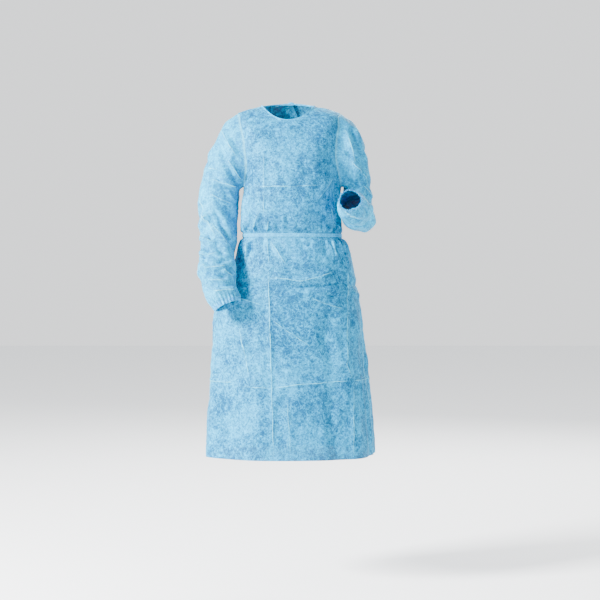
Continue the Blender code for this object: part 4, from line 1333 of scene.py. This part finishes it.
@dataclass(frozen=True)
class Web:
    """Make-up of the nonwoven web: its layers, and how much each part of it shows."""

    fibre_layers: tuple[tuple[float, float], ...] = ((0.12, 3.1), (1.15, 7.7), (-0.85, 12.3))
    curl_layers: tuple[tuple[float, float, float], ...] = (
        (0.0150, 0.34, 0.0), (0.0110, 0.30, 3.7), (0.0190, 0.30, 8.1), (0.0080, 0.22, 12.9))
    curl_width: float = 0.050
    fibres: float = 0.10
    curls: float = 0.62
    clouds: float = 0.26
    wide_clouds: float = 0.20
    wide_scale: float = 11.0
    bond_angle: float = 0.785
    bond_shade: float = 0.10
    bond_depth: float = 0.9
    depth: float = 0.7

    def curly(self, add: Tree, place: bpy.types.NodeSocket) -> bpy.types.NodeSocket:
        """Thin curly filaments: the lines along which soft noise crosses its middle value."""
        total = None
        for size, weight, seed in self.curl_layers:
            moved = add.vector("ADD", place, (seed, 2 * seed, -seed))
            bend = add.noise(moved, 1 / size, 1.6, 0.55, 0.9)
            gap = add.math("ABSOLUTE", add.math("SUBTRACT", bend, 0.5))
            line = add.range(gap, 0.0, self.curl_width, weight, 0.0)
            total = line if total is None else add.math("ADD", total, line)
        return total

    def straight(self, add: Tree, given: bpy.types.bpy_prop_collection) -> bpy.types.NodeSocket:
        """Fine straight fibres that lie in a few directions on the cloth."""
        across = add.math("DIVIDE", 1.0, given["Fibre Width"])
        along = add.math("DIVIDE", 1.0, given["Fibre Length"])
        scale = add.node("ShaderNodeCombineXYZ", {"X": along, "Y": across, "Z": 1.0}).outputs[0]
        fibres = None
        for angle, seed in self.fibre_layers:
            sized = add.vector("MULTIPLY", add.turned(given["Cloth"], angle), scale)
            streak = add.noise(add.vector("ADD", sized, (seed, 2 * seed, seed)), 1.0, 2.0, distortion=0.3)
            lines = add.range(streak, 0.56, 0.68)
            fibres = lines if fibres is None else add.math("MAXIMUM", fibres, lines)
        return fibres

    def bonds(self, add: Tree, given: bpy.types.bpy_prop_collection) -> bpy.types.NodeSocket:
        """Small bond points in a slanted grid on the cloth."""
        scale = add.math("DIVIDE", 2 * math.pi, given["Bond Pitch"])
        grid = add.turned(given["Cloth"], self.bond_angle)
        grid = add.node("ShaderNodeVectorMath", {0: grid, "Scale": scale}, operation="SCALE").outputs[0]
        parts = add.node("ShaderNodeSeparateXYZ", {0: grid}).outputs
        dots = add.math("MULTIPLY", add.math("SINE", parts["X"]), add.math("SINE", parts["Y"]))
        return add.range(dots, 0.45, 0.85)

    def group(self) -> bpy.types.NodeTree:
        """Shader group with the web's density, shade and height."""
        group = shader_group("nonwoven_web", ("Cloth", "Object"), {
            "Fibre Width": 0.0009, "Fibre Length": 0.050, "Cloud Size": 0.012, "Bond Pitch": 0.0024},
            ("Density", "Shade", "Height"))
        add = Tree(group)
        given = add.node("NodeGroupInput").outputs
        place = given["Object"]
        fibres, curly, dots = self.straight(add, given), self.curly(add, place), self.bonds(add, given)
        cloud_scale = add.math("DIVIDE", 1.0, given["Cloud Size"])
        cloud = add.range(add.noise(place, cloud_scale, 4.0, 0.62, 1.2), 0.36, 0.64)
        wide = add.range(add.noise(place, self.wide_scale, 3.0, 0.6, 0.6), 0.34, 0.66)
        lines = add.math("ADD", add.math("MULTIPLY", fibres, self.fibres),
                         add.math("MULTIPLY", curly, self.curls))
        clouds = add.math("ADD", add.math("MULTIPLY", cloud, self.clouds),
                          add.math("MULTIPLY", wide, self.wide_clouds))
        density = add.math("ADD", clouds, lines)
        shaded = add.math("SUBTRACT", density, add.math("MULTIPLY", dots, self.bond_shade))
        height = add.math("SUBTRACT", add.math("MULTIPLY", density, self.depth),
                          add.math("MULTIPLY", dots, self.bond_depth))
        add.node("NodeGroupOutput", {"Density": density, "Shade": add.range(shaded, 0.06, 0.86),
                                     "Height": height})
        return group


def crumple_group() -> bpy.types.NodeTree:
    """Fine crumpling of thin stiff cloth: faint sharp facets of two sizes."""
    group = shader_group("fine_crumple", ("Object",), {"Facet Size": 0.05}, ("Height",))
    add = Tree(group)
    given = add.node("NodeGroupInput").outputs
    total = None
    for share, weight, seed in ((1.0, 1.0, 0.0), (0.45, 0.45, 4.3)):
        size = add.math("DIVIDE", 1.0 / share, given["Facet Size"])
        bend = add.noise(add.vector("ADD", given["Object"], (seed, seed, 0.0)), size, 2.0, distortion=1.1)
        folded = add.math("ABSOLUTE", add.math("SUBTRACT", bend, 0.5))
        layer = add.math("MULTIPLY", folded, weight)
        total = layer if total is None else add.math("ADD", total, layer)
    add.node("NodeGroupOutput", {"Height": total})
    return group


@dataclass(frozen=True)
class PressedLines:
    """Creases and seams drawn from the cloth's own distances: pale lines on ridges (partly whitened fold,
    partly painted highlight), dark lines in valleys and beside each crease (painted shade and painted
    shadow), seam bands.
    """

    break_up_scale: float = 38.0
    shake_scale: float = 150.0
    shake: float = 0.0022
    # Place, width and strength of the painted shadow line beside each crease, then the strength of the
    # painted shade in valleys.
    shadow_place: float = 2.4
    shadow_width: float = 1.5
    shadow: float = 0.45
    valley: float = -0.7
    band: float = 0.14
    stitched: float = 0.22
    band_height: float = 0.6

    @staticmethod
    def hill(add: Tree, gap: bpy.types.NodeSocket, width: object) -> bpy.types.NodeSocket:
        """Soft hill of height 1 over a gap of 0, in shader nodes."""
        ratio = add.math("DIVIDE", gap, width)
        return add.math("EXPONENT", add.math("MULTIPLY", add.math("MULTIPLY", ratio, ratio), -1.0))

    def group(self) -> bpy.types.NodeTree:
        """Shader group with the lines' pale share (whitened folds and painted highlight), dark share (painted
        shade and painted shadow) and their height.
        """
        group = shader_group("pressed_lines", ("Upright", "Level", "Object"), {
            "Seam": 0.0, "Line Width": 0.0010, "Ridge Width": 0.0030}, ("Pale", "Dark", "Height"))
        add = Tree(group)
        given = add.node("NodeGroupInput").outputs
        width = given["Line Width"]
        broken_up = add.range(add.noise(given["Object"], self.break_up_scale, 3.0, 0.65), 0.36, 0.60, 0.20, 0.85)
        shaky = add.noise(given["Object"], self.shake_scale, 2.0)
        shift = add.math("MULTIPLY", add.math("SUBTRACT", shaky, 0.5), self.shake)
        marks, shadows, ridges = [], [], []
        for name in ("Upright", "Level"):
            parts = add.node("ShaderNodeSeparateXYZ", {0: given[name]}).outputs
            gap, strength = add.math("ADD", parts["X"], shift), add.math("MULTIPLY", parts["Y"], broken_up)
            # A darker line just beside each crease: a painted shadow.
            beside = add.math("SUBTRACT", gap, add.math("MULTIPLY", width, self.shadow_place))
            wide = add.math("MULTIPLY", width, self.shadow_width)
            for found, here, size in ((marks, gap, width), (shadows, beside, wide),
                                      (ridges, gap, given["Ridge Width"])):
                found.append(add.math("MULTIPLY", strength, self.hill(add, here, size)))
        band = add.math("MULTIPLY", add.range(given["Seam"], 0.79, 0.83), self.band)
        stitched = add.math("MULTIPLY", add.range(given["Seam"], 0.92, 0.98), self.stitched)
        # Pale: seam bands, the seam line, and ridge lines that are partly whitened fold and partly painted
        # highlight. Dark: valley lines as painted shade and the line beside each crease as painted shadow.
        pale = add.math("MAXIMUM", add.math("ADD", band, stitched), add.math("MAXIMUM", *marks))
        deep = add.math("MULTIPLY", add.math("MINIMUM", *marks), self.valley)
        dark = add.math("MAXIMUM", deep, add.math("MULTIPLY", add.math("MAXIMUM", *shadows), self.shadow))
        height = add.math("ADD", add.math("ADD", *ridges), add.math("MULTIPLY", band, self.band_height))
        add.node("NodeGroupOutput", {"Pale": add.node("ShaderNodeClamp", {"Value": pale}).outputs[0],
                                     "Dark": add.node("ShaderNodeClamp", {"Value": dark}).outputs[0],
                                     "Height": height})
        return group


@dataclass(frozen=True)
class Groups:
    """The shader groups that the cloth finishes share."""

    web: bpy.types.NodeTree
    crumple: bpy.types.NodeTree
    lines: bpy.types.NodeTree


@dataclass(frozen=True)
class ClothFinish:
    """Finish of one kind of nonwoven cloth. Colours are linear: thin and thick are the web's sparse and dense
    tones, pale colours the seam bands and the ridge lines (partly whitened fold, partly painted highlight),
    and the fourth colour is painted shade for crease valleys and the painted shadow beside creases.
    """

    name: str
    thin: tuple[float, float, float]
    thick: tuple[float, float, float]
    pale: tuple[float, float, float]
    deep: tuple[float, float, float]
    alpha_thin: float = 0.86
    alpha_thick: float = 0.97
    roughness: float = 0.62
    sheen: float = 0.02
    fibre_width: float = 0.0009
    bond_pitch: float = 0.0024
    cloud_size: float = 0.012
    crumple: float = 0.0027
    facet: float = 0.055
    relief: float = 0.00012
    ridge: float = 0.0011
    through: float = 0.6
    through_depth: float = 0.0010
    through_colour: tuple[float, float, float] = (0.7, 0.9, 1.0)
    gloss: float = 0.10
    sheen_roughness: float = 0.45

    def material(self, groups: Groups) -> bpy.types.Material:
        """Build the material from the shared groups."""
        material = bpy.data.materials.new(self.name)
        material.use_nodes = True
        add = Tree(material.node_tree)
        cloth = add.node("ShaderNodeUVMap", uv_map="cloth").outputs["UV"]
        place = add.node("ShaderNodeTexCoord").outputs["Object"]
        fibres = add.node("ShaderNodeGroup", {
            "Cloth": cloth, "Object": place, "Fibre Width": self.fibre_width, "Bond Pitch": self.bond_pitch,
            "Cloud Size": self.cloud_size}, node_tree=groups.web).outputs
        facets = add.node("ShaderNodeGroup", {"Object": place, "Facet Size": self.facet},
                          node_tree=groups.crumple).outputs
        marks = {mark: add.node("ShaderNodeAttribute", attribute_name=mark.lower()).outputs[output]
                 for mark, output in (("Upright", "Vector"), ("Level", "Vector"), ("Seam", "Fac"))}
        lines = add.node("ShaderNodeGroup", {"Object": place, **marks}, node_tree=groups.lines).outputs
        colour = add.mix(fibres["Shade"], (*self.thin, 1.0), (*self.thick, 1.0))
        # Painted shade in crease valleys and painted shadow beside creases, then the pale lines: seam bands
        # and ridge lines that are partly whitened fold and partly painted highlight.
        colour = add.mix(lines["Dark"], colour, (*self.deep, 1.0))
        colour = add.mix(lines["Pale"], colour, (*self.pale, 1.0))
        full = add.math("ADD", fibres["Density"], add.math("MULTIPLY", lines["Pale"], 0.6))
        gloss = add.range(fibres["Density"], 0.0, 1.0, self.roughness + 0.08, self.roughness - 0.06)
        normal = add.bump(facets["Height"], self.crumple, 0.8)
        normal = add.bump(lines["Height"], self.ridge, 1.0, normal)
        normal = add.bump(fibres["Height"], self.relief, 0.7, normal)
        add.fill(material.node_tree.nodes["Principled BSDF"], {
            "Base Color": colour, "Alpha": add.range(full, 0.0, 0.9, self.alpha_thin, self.alpha_thick),
            "Roughness": gloss, "Normal": normal, "Specular IOR Level": self.gloss,
            "Sheen Weight": self.sheen, "Sheen Roughness": self.sheen_roughness,
            "Subsurface Weight": self.through, "Subsurface Radius": self.through_colour,
            "Subsurface Scale": self.through_depth})
        return material


@dataclass(frozen=True)
class ThreadFinish:
    """Finish of the sewing thread: twisted, slightly glossy polyester."""

    name: str = "sewing_thread"
    dark: tuple[float, float, float] = (0.02, 0.34, 0.62)
    light: tuple[float, float, float] = (0.12, 0.58, 0.82)
    twist: float = 0.0006
    twist_turns: float = 0.16
    twist_depth: float = 0.0001
    roughness: float = 0.45
    sheen: float = 0.2

    def material(self) -> bpy.types.Material:
        """Build the material with its fine twist."""
        material = bpy.data.materials.new(self.name)
        material.use_nodes = True
        add = Tree(material.node_tree)
        place = add.node("ShaderNodeTexCoord").outputs["Object"]
        lines = add.node("ShaderNodeTexWave", {
            "Vector": place, "Scale": self.twist_turns / self.twist, "Distortion": 1.5},
            bands_direction="DIAGONAL").outputs["Fac"]
        add.fill(material.node_tree.nodes["Principled BSDF"], {
            # The colour follows the twist's height and is darker in its grooves: painted shade.
            "Base Color": add.mix(lines, (*self.dark, 1.0), (*self.light, 1.0)),
            "Normal": add.bump(lines, self.twist_depth, 0.6), "Roughness": self.roughness,
            "Sheen Weight": self.sheen})
        return material


# Each finish gives thin, thick and pale colours, then the painted shade colour for crease valleys and the
# shadow beside creases.
CLOTH = ClothFinish("sky_blue_nonwoven", (0.000, 0.072, 0.180), (0.000, 0.370, 0.640), (0.150, 0.740, 0.900),
                    (0.000, 0.025, 0.110))
CUFF = ClothFinish("cuff_nonwoven", (0.000, 0.120, 0.320), (0.010, 0.440, 0.740), (0.180, 0.740, 0.920),
                   (0.000, 0.060, 0.200), 0.93, 1.0, facet=0.02, crumple=0.0004)
SLEEVE = ClothFinish("sleeve_nonwoven", (0.000, 0.150, 0.320), (0.000, 0.430, 0.700), (0.240, 0.800, 0.940),
                     (0.000, 0.030, 0.130), crumple=0.0036, ridge=0.0022, through=0.4)
BINDING = ClothFinish("binding_nonwoven", (0.000, 0.170, 0.370), (0.010, 0.420, 0.680), (0.160, 0.680, 0.860),
                      (0.000, 0.070, 0.200), 0.98, 1.0, fibre_width=0.0005, facet=0.02, crumple=0.0003,
                      cloud_size=0.006)


@dataclass
class Seams:
    """Where the seams run on the finished middle surface."""

    sheet: ClothSheet
    body: BodyForm
    numbers: Array

    def side(self, side: Side) -> Array:
        """Side seam from the hem up to the armhole."""
        return self.numbers[:self.body.row("armpit") + 1, self.body.column(side.value * FRONT_COLUMN)]

    def shoulder(self, side: Side) -> Array:
        """Shoulder seam from the armhole to the neck."""
        return self.numbers[self.body.row("shoulder"):, self.body.column(side.value * FRONT_COLUMN)]

    def shifted(self, line: Array, columns: int) -> Array:
        """The same line a number of fine columns further from the centre front."""
        rows, places = [], []
        for number in line:
            row, place = np.argwhere(self.numbers == number)[0]
            rows.append(row)
            places.append(place + (columns if place > self.body.column(0) else -columns))
        return self.numbers[rows, places]


@dataclass
class WaistTie:
    """Flat tie round the waist, folded from a strip and laid over the gathers."""

    body: BodyForm
    clearance: float = 0.0012
    width: float = 0.010
    thickness: float = 0.0009
    step_clear: float = 0.012
    flat: tuple[float, float] = (0.0115, 0.92)

    def build(self, sheet: ClothSheet, numbers: Array, normals: Array, material: bpy.types.Material) -> tuple:
        """Build the tie and return its two edge lines and outward normals."""
        low, high = numbers[self.body.row("tie_low")], numbers[self.body.row("tie_high")]
        edge = sheet.points[low[-1]][0]
        covered = int(np.argmax(sheet.points[low, 0] < edge - self.step_clear))
        bottom, top = sheet.points[low[covered:]], sheet.points[high[covered:]]
        out = unit(normals[low[covered:]] + normals[high[covered:]])
        inset = 0.5 * (1 - self.width / np.linalg.norm(top - bottom, axis=1).mean())
        lines = np.stack([bottom + (top - bottom) * inset, top - (top - bottom) * inset])
        lines = lines + out * (self.clearance + 0.5 * self.thickness)
        for _ in range(4):
            even = 0.5 * (np.roll(lines, 1, axis=1) + np.roll(lines, -1, axis=1))
            gain = ((even - lines) * out).sum(axis=2, keepdims=True)
            lines = lines + out * np.maximum(gain, 0.0)
        strip = Strip("waist_tie_band", "waist_tie", self.thickness, self.flat, closed=True)
        strip.build(lines[0], lines[1], out, material)
        return lines[0], lines[1], out


@dataclass
class NeckBinding:
    """Folded strip that binds the neck edge."""

    body: BodyForm
    thickness: float = 0.0018
    flat: tuple[float, float] = (0.0100, 0.44)
    overhang: float = 0.12

    def build(self, material: bpy.types.Material) -> tuple:
        """Build the binding and return its middle line and outward normals."""
        body = self.body
        low, high = body.key("neck"), body.key("neck_top")
        keys = np.array([low, 0.5 * (low + high), high])
        base = body.base(keys, body.columns)
        base = base + grid_normals(base) * body.lift(keys, body.columns)[..., None]
        out = grid_normals(base)[1]
        strip = Strip("neck_binding_strip", "neck_binding", self.thickness, self.flat)
        strip.build(base[0] + self.overhang * (base[0] - base[2]), base[2], out, material)
        return base[1], out


class Lamp(NamedTuple):
    """Soft square light: its place, size and power."""

    name: str
    place: tuple[float, float, float]
    size: float
    power: float


@dataclass
class Studio:
    """Pale floor, soft lights and the camera at the picture's viewing angle."""

    lamps: tuple[Lamp, ...] = (
        Lamp("key_light", (-3.5, -2.1, 1.5), 1.1, 1350.0),
        Lamp("fill_light", (2.8, -3.0, 0.6), 2.0, 70.0),
        Lamp("back_light", (1.2, 3.2, 1.6), 2.0, 260.0),
    )
    lit: tuple[float, float, float] = (0.0, 0.0, -0.5)
    floor_reach: float = 14.0
    floor_colour: tuple[float, float, float, float] = (0.86, 0.87, 0.88, 1.0)
    sky_colour: tuple[float, float, float, float] = (0.96, 0.98, 1.0, 1.0)
    sky_power: float = 1.5
    floor_z: float = -1.42
    camera: tuple[float, float, float] = (0.027, -4.5, -0.47)
    aim: tuple[float, float, float] = (0.027, 0.0, -0.564)
    lens: float = 90.0

    @staticmethod
    def link(name: str, data: bpy.types.ID, place: tuple[float, float, float] | None = None,
             aim: tuple[float, float, float] | None = None) -> bpy.types.Object:
        """Add an object to the scene, at a place and turned to its aim where they are given."""
        thing = bpy.data.objects.new(name, data)
        if place is not None:
            thing.location = place
            thing.rotation_euler = (Vector(aim) - Vector(place)).to_track_quat("-Z", "Y").to_euler()
        bpy.context.scene.collection.objects.link(thing)
        return thing

    def floor(self) -> None:
        """Set up the floor."""
        reach = self.floor_reach
        mesh = bpy.data.meshes.new("studio_floor")
        corners = [(-reach, -reach), (reach, -reach), (reach, reach), (-reach, reach)]
        mesh.from_pydata([(x, y, self.floor_z) for x, y in corners], [], [(0, 1, 2, 3)])
        paint = bpy.data.materials.new("pale_floor")
        paint.use_nodes = True
        shader = paint.node_tree.nodes["Principled BSDF"]
        Tree(paint.node_tree).fill(shader, {"Base Color": self.floor_colour, "Roughness": 0.9})
        mesh.materials.append(paint)
        self.link("studio_floor", mesh)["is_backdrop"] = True

    def build(self) -> None:
        """Set up the floor, lights, world and camera."""
        self.floor()
        for lamp in self.lamps:
            data = bpy.data.lights.new(lamp.name, "AREA")
            data.shape, data.size, data.energy = "SQUARE", lamp.size, lamp.power
            self.link(lamp.name, data, lamp.place, self.lit)
        world = bpy.data.worlds.new("studio_world")
        world.use_nodes = True
        sky = world.node_tree.nodes["Background"]
        Tree(world.node_tree).fill(sky, {"Color": self.sky_colour, "Strength": self.sky_power})
        bpy.context.scene.world = world
        data = bpy.data.cameras.new("studio_camera")
        data.lens = self.lens
        bpy.context.scene.camera = self.link("studio_camera", data, self.camera, self.aim)


def back_surface(pieces: list[bpy.types.Object]) -> Callable[[float, float], tuple[Array, Array]]:
    """Function that gives the outermost point and normal of these pieces behind a point in X and Z."""
    trees = []
    for piece in pieces:
        corners = [vertex.co.copy() for vertex in piece.data.vertices]
        trees.append(BVHTree.FromPolygons(corners, [tuple(face.vertices) for face in piece.data.polygons]))

    def surface_at(x: float, z: float) -> tuple[Array, Array]:
        """Point and outward normal seen from behind."""
        start, way = Vector((x, 0.5, z)), Vector((0.0, -1.0, 0.0))
        hits = [hit for hit in (tree.ray_cast(start, way) for tree in trees) if hit[0]]
        nearest = max(hits, key=lambda hit: hit[0].y)
        return np.array(nearest[0]), np.array(nearest[1])

    return surface_at


@dataclass
class TiedKnot:
    """Knot in a tie with a wrapped middle and two hanging tails."""

    knot: Knot
    around: int = 28
    rings: int = 25
    rows: int = 46
    width: float = 0.010
    thickness: float = 0.0008
    lift: float = 0.0013
    wave: float = 0.0010
    edge_wave: float = 0.0004
    clearance: float = 0.0007
    groove: float = 0.11
    bulge: float = 0.10

    def ball(self, middle: Array, material: bpy.types.Material) -> None:
        """Squashed knot whose wound strip shows as slanting grooves."""
        size = np.array(self.knot.size)
        share = np.linspace(-0.48, 0.48, self.rings)[:, None]
        turn = np.linspace(0, 2 * np.pi, self.around, endpoint=False)[None, :]
        groove = 1 - self.groove * np.abs(np.sin(1.5 * turn + 9 * share)) ** 3
        groove = groove + self.bulge * bump(share / 0.24)
        radius = np.sqrt(0.25 - share ** 2) ** 0.85 * groove * 0.92
        shape = np.stack([share + 0 * turn, radius * np.cos(turn), radius * np.sin(turn)], axis=2)
        points = middle + size * shape
        numbers = np.arange(self.rings * self.around).reshape(self.rings, self.around)
        closed = np.hstack([numbers, numbers[:, :1]])
        quads = np.stack([closed[:-1, :-1], closed[:-1, 1:], closed[1:, 1:], closed[1:, :-1]], axis=2)
        faces = quads.reshape(-1, 4).tolist() + [numbers[0][::-1].tolist(), numbers[-1].tolist()]
        flat = points.reshape(-1, 3)
        uvs = np.array([(flat[number][0], flat[number][2]) for face in faces for number in face])
        piece = new_piece(self.knot.name + "_knot_wound", flat, faces, uvs, material, 70.0)
        seat(piece, self.knot.name + "_knot")

    def build(self, seat_at: Callable, cloth_at: Callable, material: bpy.types.Material) -> None:
        """Build the knot on its tie and its tails on the cloth below it."""
        knot = self.knot
        point, facing = seat_at(0.0, knot.height)
        reach = np.linalg.norm(0.5 * np.array(knot.size) * facing) + self.clearance
        middle = point + facing * reach
        self.ball(middle, material)
        top = middle[2] - 0.5 * knot.size[2] - 2 * self.clearance
        for side, length, start, lean in zip(("left", "right"), knot.lengths, knot.starts, knot.leans):
            low, high, out = [], [], []
            for share in np.linspace(0, 1, self.rows):
                across = start + lean * math.sin(0.5 * math.pi * share)
                lift = self.lift + self.wave * (0.5 + 0.5 * math.sin(9.0 * share))
                found = [cloth_at(across + edge * self.width, top - length * share) for edge in (0.5, -0.5)]
                facing = unit(found[0][1] + found[1][1])
                high.append(found[0][0] + facing * lift)
                low.append(found[1][0] + facing * (lift + self.edge_wave * math.sin(17 * share)))
                out.append(facing)
            low, high, out = self.even(np.array(low)), self.even(np.array(high)), np.array(out)
            strip = Strip(f"{knot.name}_tail_{side}_strip", f"{knot.name}_tail_{side}", self.thickness,
                          (0.0110, length), held="hung")
            strip.build(high, low, out, material)

    @staticmethod
    def even(line: Array) -> Array:
        """The line with its small steps evened out."""
        for _ in range(6):
            line[1:-1] = 0.5 * line[1:-1] + 0.25 * (line[:-2] + line[2:])
        return line


@dataclass
class Gown:
    """The whole gown: its forms, panels, ties and stitching."""

    relax_reach: float = 0.050
    relax_rounds: int = 40
    crumple: float = 0.0017
    set_in_row: int = 2
    stitch_lift: float = 0.00045
    cuff_stitch_lift: float = 0.0009
    tie_stitch_lift: float = 0.00048
    neck_stitch_lift: float = 0.00098
    neck_stitch_drop: float = 0.0022
    tie_rows: tuple[float, float] = (0.13, 0.87)
    panels: tuple[Panel, ...] = (
        Panel("front_panel", "front_cloth", (0.78, 1.06), 0.66, "draped"),
        Panel("back_panel_left", "back_cloth_left", (0.50, 1.06), 0.42, "draped"),
        Panel("back_panel_right", "back_cloth_right", (0.50, 1.06), 0.42, "draped"),
        Panel("sleeve_left", "sleeve_cloth_left", (0.48, 0.52), 0.16, "draped"),
        Panel("sleeve_right", "sleeve_cloth_right", (0.48, 0.62), 0.19, "draped"),
        Panel("cuff_left", "cuff_edge_left", (0.012, 0.26), None, "gathered", "elastic_cuff", 0.0014),
        Panel("cuff_right", "cuff_edge_right", (0.012, 0.26), None, "gathered", "elastic_cuff", 0.0014),
    )

    def forms(self) -> None:
        """Build the middle surface with its creases."""
        self.sheet = ClothSheet()
        self.body = BodyForm(self.sheet)
        self.numbers = self.body.build()
        self.sleeves, self.loops = [], []
        for side, region, rings, folds in ((Side.RIGHT, SR, RIGHT_RINGS, RIGHT_FOLDS),
                                           (Side.LEFT, SL, LEFT_RINGS, LEFT_FOLDS)):
            loop, shares = self.body.armhole(self.numbers, side)
            sleeve = SleeveForm(self.sheet, side, region, rings, folds, seed=5 + side.value)
            sleeve.build(loop, shares)
            self.sleeves.append(sleeve)
            self.loops.append(loop)
        self.sheet.join()
        near = np.minimum(*(self.sheet.distance_to(self.sheet.points[loop][::3]) for loop in self.loops))
        self.sheet.relax(ease(1 - near / self.relax_reach), self.relax_rounds)
        creasing = Creasing(self.sheet)
        creasing.crumple(self.crumple)
        creasing.press(CREASES)
        seams = Seams(self.sheet, self.body, self.numbers)
        for side in Side:
            for line in (seams.side(side), seams.shoulder(side)):
                creasing.pucker(self.sheet.points[line])
        for loop, sleeve in zip(self.loops, self.sleeves):
            creasing.pucker(self.sheet.points[loop])
            creasing.pucker(self.sheet.points[sleeve.seam])
        self.seams = seams
        LOG.info("middle surface: %d points, %d cells", len(self.sheet.points), len(self.sheet.quads))

    def sew(self, thread: bpy.types.Material, tie: tuple, neck: tuple) -> None:
        """Lay the stitches along the seams, the ties and the cuffs."""
        normals = self.sheet.normals()
        points = self.sheet.points
        tree = stitch_tree(thread)
        body_rows = Stitching("body_seam_stitches", Stitch())
        for side in Side:
            for line in (self.seams.side(side), self.seams.shoulder(side)):
                for columns in (1, -1):
                    moved = self.seams.shifted(line, columns)
                    body_rows.add(points[moved], normals[moved], self.stitch_lift)
        body_rows.build(tree, thread)
        sleeve_rows = Stitching("sleeve_seam_stitches", Stitch())
        for sleeve in self.sleeves:
            line = sleeve.grid[self.set_in_row]
            sleeve_rows.add(points[line], normals[line], self.stitch_lift, True)
            under = int(np.flatnonzero(sleeve.grid[1] == sleeve.seam[1])[0])
            for columns in (1, -1):
                line = sleeve.grid[1:len(sleeve.seam), under + columns]
                sleeve_rows.add(points[line], normals[line], self.stitch_lift)
            line = sleeve.grid[len(sleeve.seam) - 1]
            sleeve_rows.add(points[line], normals[line], self.cuff_stitch_lift, True)
        sleeve_rows.build(tree, thread)
        tie_rows = Stitching("tie_stitches", Stitch(pitch=0.0034, length=0.0024, width=0.00045))
        low, high, out = tie
        for share in self.tie_rows:
            tie_rows.add(low + (high - low) * share, out, self.tie_stitch_lift, True)
        middle, out = neck
        tie_rows.add(middle - np.array([0.0, 0.0, self.neck_stitch_drop]), out, self.neck_stitch_lift)
        tie_rows.build(tree, thread)

    def build(self) -> None:
        """Build every piece in order."""
        groups = Groups(Web().group(), crumple_group(), PressedLines().group())
        cloth, sleeve, cuff, binding = (finish.material(groups) for finish in (CLOTH, SLEEVE, CUFF, BINDING))
        thread = ThreadFinish().material()
        self.forms()
        normals = self.sheet.normals()
        finishes = {"front": cloth, "back": cloth, "sleeve": sleeve, "cuff": cuff}
        built = {panel.node: panel.build(self.sheet, normals, finishes[panel.node.split("_")[0]])
                 for panel in self.panels}
        tie = WaistTie(self.body).build(self.sheet, self.numbers, normals, binding)
        neck = NeckBinding(self.body).build(binding)
        backs = [built["back_panel_left"], built["back_panel_right"], bpy.data.objects["neck_binding_strip"]]
        seats = {"waist": "waist_tie_band", "neck": "neck_binding_strip"}
        for knot in KNOTS:
            seat_at = back_surface([bpy.data.objects[seats[knot.name]]])
            TiedKnot(knot).build(seat_at, back_surface(backs), binding)
        self.sew(thread, tie, neck)


def main() -> None:
    """Build the gown and its studio; the imported parts' bounds are taken first but not used."""
    logging.basicConfig(level=logging.INFO, format="%(message)s")
    cad = tuple(corner.copy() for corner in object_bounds())
    Gown().build()
    Studio().build()


if __name__ == "__main__":
    main()
